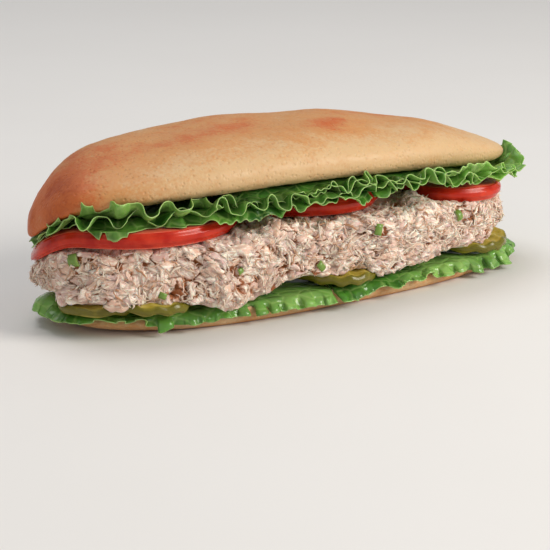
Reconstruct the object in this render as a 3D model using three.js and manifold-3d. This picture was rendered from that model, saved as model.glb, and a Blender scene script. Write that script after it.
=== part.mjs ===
// A filled submarine roll: heel, lettuce, crinkle-cut pickles, flaked fish salad, tomato, lettuce and crown.
// Millimetres. X runs along the roll, Y across it with the shown side at -Y, and Z is up from its flat base.
import * as THREE from "three";
import { mergeVertices } from "three/addons/utils/BufferGeometryUtils.js";
import Module from "manifold-3d";

const wasm = await Module();
wasm.setup();

// Driving dimensions
const GAP = 0.35; // left between neighbours
const HEEL = { left: -92, right: 86, halfWidth: 33, power: [2.4, 2.8], top: 6.4, flat: 0.9 };
const CROWN = { left: -99.5, right: 88.5, halfWidth: 33.5, power: [2.5, 1.96], top: 14.3, lip: 4.2 };
const CROWN_RIM = { high: 44.5, highAt: -30, fall: 0.00086 };
const SALAD = { left: -97, right: 80, halfWidth: 34.5, power: [2.5, 3.2], floor: 8 };
const SALAD_TOP = { high: 29.6, highAt: -40, fall: 0.00026 };
// The left end sags towards its back corner, the crown further than the filling, and the crown's top less.
const DROOP = { along: -0.82, across: 0.57, from: 67, crown: 0.038, filling: 0.032 };
const TIP_DROOP = { from: -70, rate: 0.004 };
const CROWN_STIFF = 0.72;
const CROWN_TAPER = { from: 50, to: 90, share: 0.3 }; // the dome is lower at the right end
const TOMATO_THICK = 5.4;
const PICKLE_THICK = 3;
const LEAF_THICK = 0.8;
const CRINKLE = { depth: 0.4, pitch: 6.2 };

// Slices: centre, radius, underside's lift, and slopes along X and Y.
const TOMATOES = {
  tomato_left: { x: -64.2, y: -0.5, radius: 33.2, lift: 0.3, slopeX: 0, slopeY: -0.03 },
  tomato_middle: { x: -1.6, y: -3.5, radius: 27.8, lift: 1, slopeX: -0.01, slopeY: -0.03 },
  tomato_right: { x: 55, y: -12, radius: 20, lift: 0.2, slopeX: -0.03, slopeY: 0.01 },
};
const PICKLES = {
  pickle_left_end: { x: -82.5, y: -9, radius: 13.8, lift: 0.05, slopeX: 0, slopeY: 0, turn: 0.5 },
  pickle_left: { x: -70, y: -17, radius: 15.4, lift: 2.6, slopeX: 0, slopeY: 0.16, turn: 0.2 },
  pickle_middle: { x: 0.5, y: -21.5, radius: 15.8, lift: 1.3, slopeX: 0, slopeY: 0.09, turn: -0.3 },
  pickle_right: { x: 61.5, y: -16, radius: 15.2, lift: 1.25, slopeX: 0, slopeY: 0.08, turn: 0.15 },
  pickle_back_left: { x: -45, y: 16, radius: 15, lift: 0.05, slopeX: 0, slopeY: 0, turn: 0.7 },
  pickle_back_middle: { x: -6, y: 16.5, radius: 15.4, lift: 0.05, slopeX: 0, slopeY: 0, turn: 0.1 },
  pickle_back_right: { x: 35, y: 15.5, radius: 15.2, lift: 0.05, slopeX: 0, slopeY: 0, turn: -0.6 },
};
// Leaves: the stretch of roll that each covers. The upper ones lie part of the way from tomato to crown.
const LOWER_PLAN = { left: -95, right: 86, halfWidth: 33, power: [2.4, 3] };
const LOWER_LEAVES = {
  lettuce_lower_left: { from: -95, to: -8, phase: 0.4 },
  lettuce_lower_right: { from: -6.5, to: 86, phase: 2.1 },
};
// Where the lower leaves' edge hangs further down the heel, or less far, than the common fall.
const LOWER_FALL = 0.5;
const LOWER_FALLS = [
  { x: -83, width: 8, fall: -1.4 },
  { x: -12, width: 14, fall: 0.7 },
  { x: 28, width: 15, fall: -1.9 },
  { x: 61, width: 10, fall: 1.7 },
  { x: 82, width: 6, fall: -1 },
];
// How a lower leaf turns over the heel, and how it lies at its left end and over the raised stretch.
const DRAPE = { lie: 0.75, turn: 2.3, back: 0.3, reach: 1.2, frill: 1.1 };
const DRAPE_END = { tip: -95, to: -88, rise: 1.4, less: 0.3 };
const DRAPE_RAISED = { at: -83, width: 8, less: 0.35 };
const UPPER_REACH = { out: 2, spread: 1.3, tipLift: 5 }; // how an upper leaf's rim stands past the bread
const UPPER_PLAN = { left: -95.5, right: 89, halfWidth: 35.5, power: [2.5, 3] };
const UPPER_LEAVES = {
  lettuce_upper_left: { from: -95.5, to: 6, level: 0.36, ruffle: 3.2, fall: 0.2, phase: 0.9 },
  lettuce_upper_right: { from: 7.5, to: 89, level: 0.34, ruffle: 1.9, fall: 0.2, phase: 2.6 },
  lettuce_upper_middle: { from: -46, to: 54, level: 0.84, ruffle: 1.4, fall: 0.6, phase: 4.1 },
};
const FLAKES = { count: 36, length: 9, width: 3.8, thick: 2.6 };
const FINEST = 0.12; // detail below this is smoothed from a cut piece
const CELERY = { count: 7, radius: 2.4, length: 3.6 };

const COLOURS = {
  crust: 0xd9a564,
  salad: 0xd8bba6,
  tomato: 0xc0301c,
  pickle: 0x8c8432,
  lettuce: 0x4f8f33,
};

// A seeded source of even draws from 0 to 1.
function drawsFrom(seed) {
  let state = seed;
  return () => {
    state = (state + 0x6d2b79f5) | 0;
    let mixed = Math.imul(state ^ (state >>> 15), 1 | state);
    mixed = (mixed + Math.imul(mixed ^ (mixed >>> 7), 61 | mixed)) ^ mixed;
    return ((mixed ^ (mixed >>> 14)) >>> 0) / 4294967296;
  };
}

const blend = (a, b, share) => a + (b - a) * share;
// Rises smoothly from 0 at the start to 1 at the end, whichever of the two is larger.
const ease = (start, end, value) => THREE.MathUtils.smoothstep((value - start) / (end - start), 0, 1);
const signedPower = (value, power) => Math.sign(value) * Math.abs(value) ** power;
const hump = (x, at, width) => Math.exp(-(((x - at) / width) ** 2));

// A point on an egg-shaped plan: a superellipse with its own squareness at each end.
function planPoint(shape, angle, scale = 1) {
  const power = Math.cos(angle) < 0 ? shape.power[0] : shape.power[1];
  const middle = (shape.left + shape.right) / 2;
  const half = (shape.right - shape.left) / 2;
  return {
    x: middle + half * scale * signedPower(Math.cos(angle), 2 / power),
    y: shape.halfWidth * scale * signedPower(Math.sin(angle), 2 / power),
  };
}

// The way out of the plan at a point of its outline.
function planNormal(shape, x, y) {
  const middle = (shape.left + shape.right) / 2;
  const half = (shape.right - shape.left) / 2;
  const power = x < middle ? shape.power[0] : shape.power[1];
  const outX = signedPower((x - middle) / half, power - 1) / half;
  const outY = signedPower(y / shape.halfWidth, power - 1) / shape.halfWidth;
  const length = Math.hypot(outX, outY);
  return { outX: outX / length, outY: outY / length };
}

// The angle at which the plan's back side passes a station along the roll.
function planAngle(shape, x) {
  const middle = (shape.left + shape.right) / 2;
  const share = THREE.MathUtils.clamp((2 * (x - middle)) / (shape.right - shape.left), -1, 1);
  return Math.acos(signedPower(share, (share < 0 ? shape.power[0] : shape.power[1]) / 2));
}

// The square of how far a place lies past the line from which the left end sags.
function pastDroop(x, y) {
  return Math.max(0, DROOP.along * x + DROOP.across * y - DROOP.from) ** 2;
}

function crownDroop(x, y) {
  return DROOP.crown * pastDroop(x, y) + TIP_DROOP.rate * Math.max(0, TIP_DROOP.from - x) ** 2;
}

function fillingDroop(x, y) {
  return DROOP.filling * pastDroop(x, y);
}

// Height of the crown's cut face, which arches over the filling.
function crownRim(x, y = 0) {
  return CROWN_RIM.high - CROWN_RIM.fall * (x - CROWN_RIM.highAt) ** 2 - crownDroop(x, y);
}

// Height of the salad's top, on which the tomato lies.
function saladTop(x, y = 0) {
  return SALAD_TOP.high - SALAD_TOP.fall * (x - SALAD_TOP.highAt) ** 2 - fillingDroop(x, y);
}

function geometryOf(positions, triangles) {
  const geometry = new THREE.BufferGeometry();
  geometry.setAttribute("position", new THREE.Float32BufferAttribute(positions, 3));
  geometry.setIndex(triangles);
  return geometry;
}

function solidOf(geometry) {
  const bare = mergeVertices(geometry, 1e-4);
  return new wasm.Manifold(
    new wasm.Mesh({
      numProp: 3,
      vertProperties: new Float32Array(bare.attributes.position.array),
      triVerts: new Uint32Array(bare.index.array),
    }),
  );
}

function geometryFrom(solid) {
  const mesh = solid.getMesh();
  return geometryOf(Array.from(mesh.vertProperties), Array.from(mesh.triVerts));
}

// Drops loose scraps: the largest of the bodies that a cut left.
function largestBody(solid) {
  const bodies = solid.decompose();
  return bodies.reduce((best, body) => (body.volume() > best.volume() ? body : best));
}

// Cuts a yielding piece back from the firm pieces it lies against.
function cutBack(solid, neighbours) {
  const cut = neighbours.reduce((left, neighbour) => left.subtract(neighbour), solid);
  return largestBody(cut.simplify(FINEST));
}

// One closed solid from outlines stacked upwards. Each is a list of points. A middle point closes each end.
function stackOutlines(outlines, lowest, highest) {
  const sides = outlines[0].length;
  const positions = [lowest.x, lowest.y, lowest.z];
  outlines.flat().forEach((point) => positions.push(point.x, point.y, point.z));
  positions.push(highest.x, highest.y, highest.z);
  const last = positions.length / 3 - 1;
  const at = (row, side) => 1 + row * sides + (side % sides);
  const triangles = [];
  for (let side = 0; side < sides; side++) {
    triangles.push(0, at(0, side + 1), at(0, side));
    triangles.push(last, at(outlines.length - 1, side), at(outlines.length - 1, side + 1));
    for (let row = 0; row + 1 < outlines.length; row++) {
      triangles.push(at(row, side), at(row, side + 1), at(row + 1, side + 1));
      triangles.push(at(row, side), at(row + 1, side + 1), at(row + 1, side));
    }
  }
  return geometryOf(positions, triangles);
}

// Bread

// The heel: a flat base, a rounded side and a nearly level cut face. Each level has its scale, its
// height, and how far its left end is drawn in, because that end curves up from the base.
function makeHeel() {
  const sides = 42;
  const levels = [
    [HEEL.flat, 0, 8],
    [0.945, 0.6, 5],
    [0.98, 1.7, 2],
    [1, 3.6, 0],
    [0.992, 5.2, 0],
    [0.972, HEEL.top, 0],
    [0.6, HEEL.top + 0.2, 0],
  ];
  const outlines = levels.map(([scale, z, drawnIn]) =>
    Array.from({ length: sides }, (_, side) => {
      const { x, y } = planPoint(HEEL, (2 * Math.PI * side) / sides, scale);
      return { x: x + drawnIn * ease(-40, HEEL.left, x), y, z };
    }),
  );
  const middle = (HEEL.left + HEEL.right) / 2;
  const under = { x: middle, y: 0, z: 0 };
  const over = { x: middle, y: 0, z: HEEL.top + 0.3 };
  return solidOf(stackOutlines(outlines, under, over));
}

// Low, wide swells and dimples in the baked crust.
function crustSwell(x, y) {
  return 0.45 * Math.sin(x / 13 + 0.7) * Math.cos(y / 11) + 0.3 * Math.sin(x / 7.3 - y / 9);
}

// The crown: a cut face underneath, a rounded lip, and a loaf-shaped dome.
function makeCrown(grow = 0) {
  const sides = 50;
  const shape = {
    left: CROWN.left - grow,
    right: CROWN.right + grow,
    halfWidth: CROWN.halfWidth + grow,
    power: CROWN.power,
  };
  const lipLevels = [
    [0.55, -0.3 - grow],
    [0.9, 0.1 - grow],
    [0.965, 1.1 - grow],
    [0.993, 2.6],
    [1, CROWN.lip],
  ];
  const domeSteps = 7;
  const domeLevels = Array.from({ length: domeSteps }, (_, step) => {
    const turn = ((step + 1) / (domeSteps + 1)) * (Math.PI / 2);
    const scale = Math.cos(turn);
    const rise = (CROWN.top - CROWN.lip + grow) * (1 - scale ** 2.35) ** (1 / 2.2);
    return [scale, CROWN.lip + rise];
  });
  const outlines = [...lipLevels, ...domeLevels].map(([scale, level]) =>
    Array.from({ length: sides }, (_, side) => {
      const { x, y } = planPoint(shape, (2 * Math.PI * side) / sides, scale);
      const taper = 1 - CROWN_TAPER.share * ease(CROWN_TAPER.from, CROWN_TAPER.to, x);
      const height = Math.min(level, CROWN.lip) + taper * Math.max(0, level - CROWN.lip);
      const swell = crustSwell(x, y) * ease(CROWN.lip, CROWN.top, height);
      const stiff = CROWN_STIFF * Math.min(1, height / CROWN.top) * crownDroop(x, y);
      return { x, y, z: crownRim(x, y) + height + swell + stiff };
    }),
  );
  const middle = (CROWN.left + CROWN.right) / 2;
  const under = { x: middle, y: 0, z: crownRim(middle) - 0.3 - grow };
  const peak = { x: middle, y: 0, z: crownRim(middle) + CROWN.top + grow + crustSwell(middle, 0) };
  return solidOf(stackOutlines(outlines, under, peak));
}

// Slices

// A round slice with a slightly bulging rim, laid on a tilted plane. A slice grown as a cutter can also be
// given room: it then reaches further up, or further down if the room is below zero.
function makeSlice({ x, y, radius, slopeX, slopeY }, bottom, thick, sides, settle, grow, room) {
  const [below, above] = [grow + Math.max(0, -room), grow + Math.max(0, room)];
  const rim = [
    [1 - 0.7 / radius, -below],
    [1, thick * 0.45],
    [1 - 0.6 / radius, thick + above],
    [0.56, thick + above],
  ];
  const place = (dx, dy, height) => ({
    x: x + dx,
    y: y + dy,
    z: bottom + slopeX * dx + slopeY * dy + settle(x + dx, y + dy) + height,
  });
  const outlines = rim.map(([scale, height]) =>
    Array.from({ length: sides }, (_, side) => {
      const angle = (2 * Math.PI * side) / sides;
      const uneven = 1 + 0.018 * Math.sin(3 * angle + x) + 0.012 * Math.sin(5 * angle + y);
      const reach = (radius * uneven + grow) * scale;
      return place(reach * Math.cos(angle), reach * Math.sin(angle), height);
    }),
  );
  return solidOf(stackOutlines(outlines, place(0, 0, -below), place(0, 0, thick + above)));
}

function makeTomato(spec, grow = 0, room = 0) {
  const sag = (x, y) => -fillingDroop(x, y);
  const bottom = saladTop(spec.x) + spec.lift;
  return makeSlice(spec, bottom, TOMATO_THICK, 32, sag, grow, room);
}

function makePickle(spec, grow = 0, room = 0) {
  const { depth, pitch } = CRINKLE;
  const across = (x, y) => x * Math.cos(spec.turn) + y * Math.sin(spec.turn);
  const crinkle = (x, y) => depth * Math.sin((2 * Math.PI * across(x, y)) / pitch);
  const bottom = HEEL.top + 1.9 + spec.lift;
  return makeSlice(spec, bottom, PICKLE_THICK, 24, crinkle, grow, room);
}

// Lettuce

// The rim of a leaf: places round the plan between two stations, with the way out at each.
function leafRim(shape, leaf, along, across) {
  const [fromAngle, toAngle] = [planAngle(shape, leaf.from), planAngle(shape, leaf.to)];
  const curved = (angle) => {
    const { x, y } = planPoint(shape, angle);
    return { x, y, ...planNormal(shape, x, y), edge: 1 };
  };
  const straight = (x, start, end, outX) =>
    Array.from({ length: across - 1 }, (_, i) => {
      const y = blend(start, end, (i + 1) / across);
      return { x, y, outX, outY: 0, edge: 0 };
    });
  const steps = Array.from({ length: along + 1 }, (_, i) => i / along);
  const front = steps.map((share) => curved(blend(-fromAngle, -toAngle, share)));
  const back = steps.map((share) => curved(blend(toAngle, fromAngle, share)));
  const closesAtTo = Math.abs(back[0].y) < 0.01;
  const closesAtFrom = Math.abs(front[0].y) < 0.01;
  const toCut = closesAtTo ? [] : straight(leaf.to, front[along].y, back[0].y, 1);
  const fromCut = closesAtFrom ? [] : straight(leaf.from, back[along].y, front[0].y, -1);
  const wholeBack = back.slice(closesAtTo ? 1 : 0, closesAtFrom ? along : along + 1);
  return [...front, ...toCut, ...wholeBack, ...fromCut];
}

// A thin solid from rings of points about a middle. Both faces are split alike, and a strip closes the rim.
function sheetOf(middle, rings, thick) {
  const sides = rings[0].length;
  const points = [middle, ...rings.flat()];
  const at = (ring, side) => 1 + ring * sides + (side % sides);
  const faces = [];
  for (let side = 0; side < sides; side++) {
    faces.push(0, at(0, side), at(0, side + 1));
    for (let ring = 0; ring + 1 < rings.length; ring++) {
      faces.push(at(ring, side), at(ring + 1, side), at(ring + 1, side + 1));
      faces.push(at(ring, side), at(ring + 1, side + 1), at(ring, side + 1));
    }
  }
  const mid = geometryOf(points.flatMap(({ x, y, z }) => [x, y, z]), faces);
  mid.computeVertexNormals();
  const place = mid.attributes.position;
  const normal = mid.attributes.normal;
  const shifted = (side) =>
    points.flatMap((_, i) => [
      place.getX(i) + side * thick * normal.getX(i),
      place.getY(i) + side * thick * normal.getY(i),
      place.getZ(i) + side * thick * normal.getZ(i),
    ]);
  const count = points.length;
  const under = faces.map((_, i) => count + faces[i - (i % 3) + [0, 2, 1][i % 3]]);
  const strip = [];
  for (let side = 0; side < sides; side++) {
    const [a, b] = [at(rings.length - 1, side), at(rings.length - 1, side + 1)];
    strip.push(a, a + count, b + count, a, b + count, b);
  }
  return solidOf(geometryOf([...shifted(0.5), ...shifted(-0.5)], [...faces, ...under, ...strip]));
}

// The frill along a rim: a long ruffle with a shorter one on it, calmer round the left end.
function frill(place, phase) {
  const along = place.x * 0.9 + place.y * 1.1 * Math.sign(place.x + 0.1);
  const calm = blend(0.3, 1, ease(-96, -84, place.x));
  return calm * (0.7 * Math.sin(along / 2.7 + phase) + 0.4 * Math.sin(along / 1.7 + 2.3 * phase));
}

function offsetPlace(place, out, z) {
  return { x: place.x + out * place.outX, y: place.y + out * place.outY, z };
}

function inwardPlace(place, middleX, scale, z) {
  return { x: blend(middleX, place.x, scale), y: place.y * scale, z };
}

// A leaf on the heel: it lies flat under the filling, turns over the heel's edge, and ends in scallops.
function makeLowerLeaf(leaf, grow = 0) {
  const rim = leafRim(LOWER_PLAN, leaf, 20, 4);
  const flat = HEEL.top + DRAPE.lie;
  const middleX = (leaf.from + leaf.to) / 2;
  const turn = DRAPE.turn;
  const atTurn = (place, angle) => {
    const leftEnd = 1 - ease(DRAPE_END.tip, DRAPE_END.to, place.x);
    const raised = flat + DRAPE_END.rise * leftEnd;
    const bulge = hump(place.x, DRAPE_RAISED.at, DRAPE_RAISED.width);
    const bend = place.edge * angle * (1 - DRAPE_END.less * leftEnd - DRAPE_RAISED.less * bulge);
    return offsetPlace(place, turn * Math.sin(bend) - DRAPE.back, raised - turn * (1 - Math.cos(bend)));
  };
  const tip = (place) => {
    const start = atTurn(place, Math.PI / 2);
    const out = place.edge * (DRAPE.reach + DRAPE.frill * frill(place, leaf.phase + 1.9) + grow);
    const addFall = (sum, { x, width, fall }) => sum + fall * hump(place.x, x, width);
    const falls = LOWER_FALLS.reduce(addFall, LOWER_FALL) * ease(-93, -84, place.x);
    const drop = place.edge * (falls + DRAPE.frill * frill(place, leaf.phase));
    return { x: start.x + out * place.outX, y: start.y + out * place.outY, z: start.z - drop };
  };
  const rings = [
    rim.map((place) => inwardPlace(place, middleX, 0.7, flat)),
    rim.map((place) => atTurn(place, 0)),
    rim.map((place) => atTurn(place, Math.PI / 4)),
    rim.map((place) => atTurn(place, Math.PI / 2)),
    rim.map(tip),
  ];
  return sheetOf({ x: middleX, y: 0, z: flat }, rings, LEAF_THICK + 2 * grow);
}

// A leaf under the crown, part of the way up from the tomato. Its rim frills out past the bread.
function makeUpperLeaf(leaf, grow = 0) {
  const rim = leafRim(UPPER_PLAN, leaf, 22, 4);
  const middleX = (leaf.from + leaf.to) / 2;
  const levelAt = (x, y) => blend(saladTop(x, y) + TOMATO_THICK + 1.9, crownRim(x, y) - 0.9, leaf.level);
  const ring = (inset, share) =>
    rim.map((place) => {
      const spread = UPPER_REACH.spread * share * frill(place, leaf.phase + 1.7);
      const reach = inset === 0 ? UPPER_REACH.out * ease(-95.5, -84, place.x) + grow : 0;
      const out = place.edge * (reach - inset + spread);
      const x = place.x + out * place.outX;
      const y = place.y + out * place.outY;
      const ruffle = blend(leaf.ruffle, 1.6, ease(-56, -40, x));
      const wave = ruffle * share * frill(place, leaf.phase);
      const tipLift = UPPER_REACH.tipLift * share * ease(76, 89, x) * (y < 0 ? 1 : 0.3);
      return { x, y, z: levelAt(x, y) + place.edge * (wave - leaf.fall * share ** 1.6) + tipLift };
    });
  const inner = rim.map((place) => {
    const { x, y } = inwardPlace(place, middleX, 0.62, 0);
    return { x, y, z: levelAt(x, y) };
  });
  const rings = [inner, ring(7.5, 0.12), ring(4, 0.5), ring(0, 1)];
  return sheetOf({ x: middleX, y: 0, z: levelAt(middleX, 0) }, rings, LEAF_THICK + 2 * grow);
}

// Fish salad

// How far the salad bulges past its plan, in lumps along its sides.
const LUMPS = [
  { x: -84, y: -24, width: 15, out: 1 },
  { x: -50, y: -35, width: 13, out: 3.2 },
  { x: -14, y: -34, width: 11, out: 0.6 },
  { x: 14, y: -34, width: 9, out: 2.4 },
  { x: 33, y: -33, width: 9, out: 2 },
  { x: 57, y: -29, width: 12, out: 1 },
  { x: -10, y: 34, width: 16, out: 2.4 },
  { x: -70, y: 26, width: 14, out: 1.4 },
  { x: 52, y: 32, width: 13, out: 1.8 },
];
// How high the salad's lower edge runs: over the pickles, and further down between them.
const HEM = { shown: 11.5, hidden: 9.2 };
const HEM_FALLS = [
  { x: -92, width: 8, fall: -1 },
  { x: -42, width: 11, fall: 4.3 },
  { x: -21, width: 6, fall: -1.6 },
  { x: 13, width: 7, fall: 3 },
  { x: 28, width: 9, fall: 2 },
  { x: 80, width: 5, fall: 2 },
];

function lumpAt(x, y) {
  return LUMPS.reduce((sum, lump) => {
    const near = Math.exp(-((x - lump.x) ** 2 + (y - lump.y) ** 2) / lump.width ** 2);
    return sum + lump.out * near;
  }, 0);
}

function saladHem(x, y) {
  const lower = (height, { x: at, width, fall }) => height - fall * hump(x, at, width);
  return blend(HEM_FALLS.reduce(lower, HEM.shown), HEM.hidden, ease(-6, 6, y));
}

// Crags over the salad's surface, from folded waves in three directions.
function crag(x, y, z) {
  const fold = (value) => Math.abs(Math.sin(value)) - 0.6;
  const coarse = fold(x / 5.1 + z / 7.3) + fold(y / 4.7 - x / 9.1) + fold(z / 3.9 + x / 11.3);
  return 0.75 * coarse + 0.5 * Math.sin(x / 2.3 + y / 3.1) * Math.sin(z / 2.1 - x / 5.9);
}

// A place on the salad's side at an angle round the plan, bulged by the lumps and crags.
function saladPoint(angle, scale, z) {
  const plan = planPoint(SALAD, angle, scale);
  const roughness = ease(0.93, 0.985, scale);
  const out = lumpAt(plan.x, plan.y) * ease(0.9, 1, scale) + roughness * crag(plan.x, plan.y, z);
  const { outX, outY } = planNormal(SALAD, plan.x, plan.y);
  return { x: plan.x + out * outX, y: plan.y + out * outY, z, outX, outY };
}

// The body of the salad: a thick layer with a craggy side, risen between the tomato slices.
function makeSaladBody() {
  const sides = 60;
  const rise = (x) => 3 * hump(x, -30, 4.5) + 3 * hump(x, 31, 5.5) + 1.2 * hump(x, 78, 5);
  const levels = [
    [0.6, 0], [0.93, 0], [0.975, 0.12], [0.995, 0.3],
    [1.005, 0.52], [1, 0.74], [0.985, 0.92], [0.93, 1], [0.6, 1],
  ];
  const outlines = levels.map(([scale, share]) =>
    Array.from({ length: sides }, (_, side) => {
      const angle = (2 * Math.PI * side) / sides;
      const flat = planPoint(SALAD, angle, scale);
      const low = scale > 0.9 ? saladHem(flat.x, flat.y) : SALAD.floor;
      const high = saladTop(flat.x, flat.y) + 0.6 + rise(flat.x);
      const point = saladPoint(angle, scale, blend(low, high, share));
      const rough = scale > 0.95 ? 0.6 : 0;
      return { ...point, z: point.z + rough * crag(point.y, point.x, point.z) };
    }),
  );
  const middle = (SALAD.left + SALAD.right) / 2;
  const lowest = { x: middle, y: 0, z: SALAD.floor };
  const highest = { x: middle, y: 0, z: saladTop(middle) - 0.1 };
  return solidOf(stackOutlines(outlines, lowest, highest));
}

// A place on the salad's side: a share of the way round it, and a share of the way up it.
function sidePlace(share, height, draw) {
  const angle = 2 * Math.PI * (share + 0.004 * draw());
  const flat = planPoint(SALAD, angle);
  const z = blend(saladHem(flat.x, flat.y) + 1.6, saladTop(flat.x, flat.y) - 1.4, height);
  return saladPoint(angle, 1, z);
}

// A flake of fish: a small slab, narrowed to its ends.
function makeFlake(draw) {
  const length = FLAKES.length * blend(0.55, 1.2, draw());
  const width = FLAKES.width * blend(0.6, 1.2, draw());
  const thick = FLAKES.thick * blend(0.7, 1.2, draw());
  const flake = new THREE.CylinderGeometry(0.32, 0.5, 1, 5, 1);
  return flake.rotateZ(Math.PI / 2).scale(length, width, thick);
}

// A cut piece of celery stalk.
function makeCelery(draw) {
  const length = CELERY.length * blend(0.75, 1.2, draw());
  return new THREE.CylinderGeometry(CELERY.radius * 0.8, CELERY.radius, length, 7, 1);
}

// Sets a piece on the salad's side, turned at random about the way out.
function setOnSide(geometry, place, draw, sink) {
  const turn = new THREE.Matrix4().makeRotationZ(2 * Math.PI * draw());
  const lean = new THREE.Matrix4().makeRotationX(blend(-0.35, 0.35, draw()));
  const outward = new THREE.Vector3(place.outX, place.outY, 0.1).normalize();
  const facing = new THREE.Matrix4().makeRotationFromQuaternion(
    new THREE.Quaternion().setFromUnitVectors(new THREE.Vector3(0, 0, 1), outward),
  );
  const shift = new THREE.Matrix4().makeTranslation(
    place.x - outward.x * sink,
    place.y - outward.y * sink,
    place.z,
  );
  const bare = new THREE.BufferGeometry();
  bare.setAttribute("position", geometry.attributes.position);
  bare.setIndex(geometry.index);
  return solidOf(bare.applyMatrix4(shift.multiply(facing).multiply(lean).multiply(turn)));
}

// The salad with its flakes and celery, cut back from the slices and leaves around it.
function makeSalad(neighbours) {
  const draw = drawsFrom(20);
  const golden = 0.618034;
  const flakes = Array.from({ length: FLAKES.count }, (_, i) =>
    setOnSide(makeFlake(draw), sidePlace(i / FLAKES.count, (i * golden) % 1, draw), draw, 0.35),
  );
  const celery = Array.from({ length: CELERY.count }, (_, i) =>
    setOnSide(makeCelery(draw), sidePlace((i + 0.3) / CELERY.count, (0.2 + i * golden) % 1, draw), draw, 0.4),
  );
  const whole = wasm.Manifold.union([makeSaladBody(), ...flakes, ...celery]);
  return cutBack(whole, neighbours);
}

// Assembly

function pieceMesh(name, solid, colour, roughness) {
  const material = new THREE.MeshStandardMaterial({ color: colour, roughness, metalness: 0 });
  const mesh = new THREE.Mesh(geometryFrom(solid), material);
  mesh.name = name;
  return mesh;
}

function makeSandwich() {
  const group = new THREE.Group();
  const add = (name, solid, colour, roughness) => group.add(pieceMesh(name, solid, colour, roughness));

  const heel = makeHeel();
  add("heel", heel, COLOURS.crust, 0.7);
  add("crown", makeCrown(), COLOURS.crust, 0.6);

  const saladCutters = [];
  const grownTomatoes = [];
  for (const [name, spec] of Object.entries(TOMATOES)) {
    add(name, makeTomato(spec), COLOURS.tomato, 0.25);
    grownTomatoes.push(makeTomato(spec, GAP));
    saladCutters.push(makeTomato(spec, GAP, 5));
  }

  const grownPickles = [];
  for (const [name, spec] of Object.entries(PICKLES)) {
    add(name, cutBack(makePickle(spec), grownPickles), COLOURS.pickle, 0.35);
    grownPickles.push(makePickle(spec, GAP));
    saladCutters.push(makePickle(spec, GAP, -5));
  }

  for (const [name, leaf] of Object.entries(LOWER_LEAVES)) {
    add(name, cutBack(makeLowerLeaf(leaf), [heel, ...grownPickles]), COLOURS.lettuce, 0.5);
    saladCutters.push(makeLowerLeaf(leaf, GAP + 0.1));
  }

  const salad = makeSalad(saladCutters);
  add("fish_salad", salad, COLOURS.salad, 0.6);

  const around = [...grownTomatoes, makeCrown(GAP)];
  for (const [name, leaf] of Object.entries(UPPER_LEAVES)) {
    add(name, cutBack(makeUpperLeaf(leaf), around), COLOURS.lettuce, 0.5);
    around.push(makeUpperLeaf(leaf, GAP));
  }
  return group;
}

export default makeSandwich();
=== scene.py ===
"""Looks for the filled submarine roll: baked bread, ruffled lettuce, tomato, pickle and flaked fish salad.

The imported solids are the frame, in metres with Z up. Meshes are worked out in millimetres and scaled once.
The shown side of the roll faces -Y.
"""

import logging
from dataclasses import dataclass
from enum import Enum

import bpy
import numpy as np
from bpy.types import Material, Node, NodeSocket, NodeTree, Object
from mathutils import Matrix, Vector, kdtree

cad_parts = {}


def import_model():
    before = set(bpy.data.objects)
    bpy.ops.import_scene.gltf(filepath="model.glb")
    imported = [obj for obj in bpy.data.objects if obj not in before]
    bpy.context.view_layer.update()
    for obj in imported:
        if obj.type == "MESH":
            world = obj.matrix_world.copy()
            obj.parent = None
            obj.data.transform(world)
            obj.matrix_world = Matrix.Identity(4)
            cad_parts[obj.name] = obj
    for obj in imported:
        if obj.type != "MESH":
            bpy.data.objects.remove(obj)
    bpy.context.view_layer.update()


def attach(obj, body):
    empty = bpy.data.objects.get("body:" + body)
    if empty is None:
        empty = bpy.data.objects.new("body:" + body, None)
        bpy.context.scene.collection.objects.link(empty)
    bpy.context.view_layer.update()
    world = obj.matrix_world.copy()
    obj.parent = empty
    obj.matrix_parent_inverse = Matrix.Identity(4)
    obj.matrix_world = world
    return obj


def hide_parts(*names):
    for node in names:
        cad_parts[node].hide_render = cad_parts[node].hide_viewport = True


LOG = logging.getLogger("roll")
MM = 0.001
ROOT = "root"
TURN = 2 * np.pi
OUT_OF_REACH = 1000.0

# The mix node's sockets for colours: the two that go in, and the one that comes out
MIX_FROM, MIX_TO, MIXED = 6, 7, 2
SCALED_SUM = {"operation": "MULTIPLY_ADD"}
SMOOTH_RANGE = {"interpolation_type": "SMOOTHSTEP"}

Array = np.ndarray
Profile = list[tuple[float, float]]


# Numbers and fields


def linear(colour: int) -> tuple[float, float, float, float]:
    """Turns an sRGB hex colour into linear red, green and blue, with full opacity.

    Args:
        colour: the colour as 0xRRGGBB.

    Returns:
        Four values.
    """
    parts = [((colour >> shift) & 255) / 255 for shift in (16, 8, 0)]
    flat = [part / 12.92 if part <= 0.04045 else ((part + 0.055) / 1.055) ** 2.4 for part in parts]
    return (flat[0], flat[1], flat[2], 1.0)


def ease(low: float, high: float, value: Array) -> Array:
    """Rises smoothly from 0 at low to 1 at high."""
    share = np.clip((value - low) / (high - low), 0, 1)
    return share * share * (3 - 2 * share)


def blend(first: Array, second: Array, share: Array) -> Array:
    """Mixes two values by a share of the second."""
    return first + (second - first) * share


def hump(value: Array, at: float, width: float) -> Array:
    """A smooth hump of height 1."""
    return np.exp(-(((value - at) / width) ** 2))


def signed_power(value: Array, power: Array) -> Array:
    """Raises the size of a value to a power and keeps its sign."""
    return np.sign(value) * np.abs(value) ** power


def unit(vectors: Array) -> Array:
    """Scales vectors to length 1."""
    return vectors / np.maximum(np.linalg.norm(vectors, axis=-1, keepdims=True), 1e-9)


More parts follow.
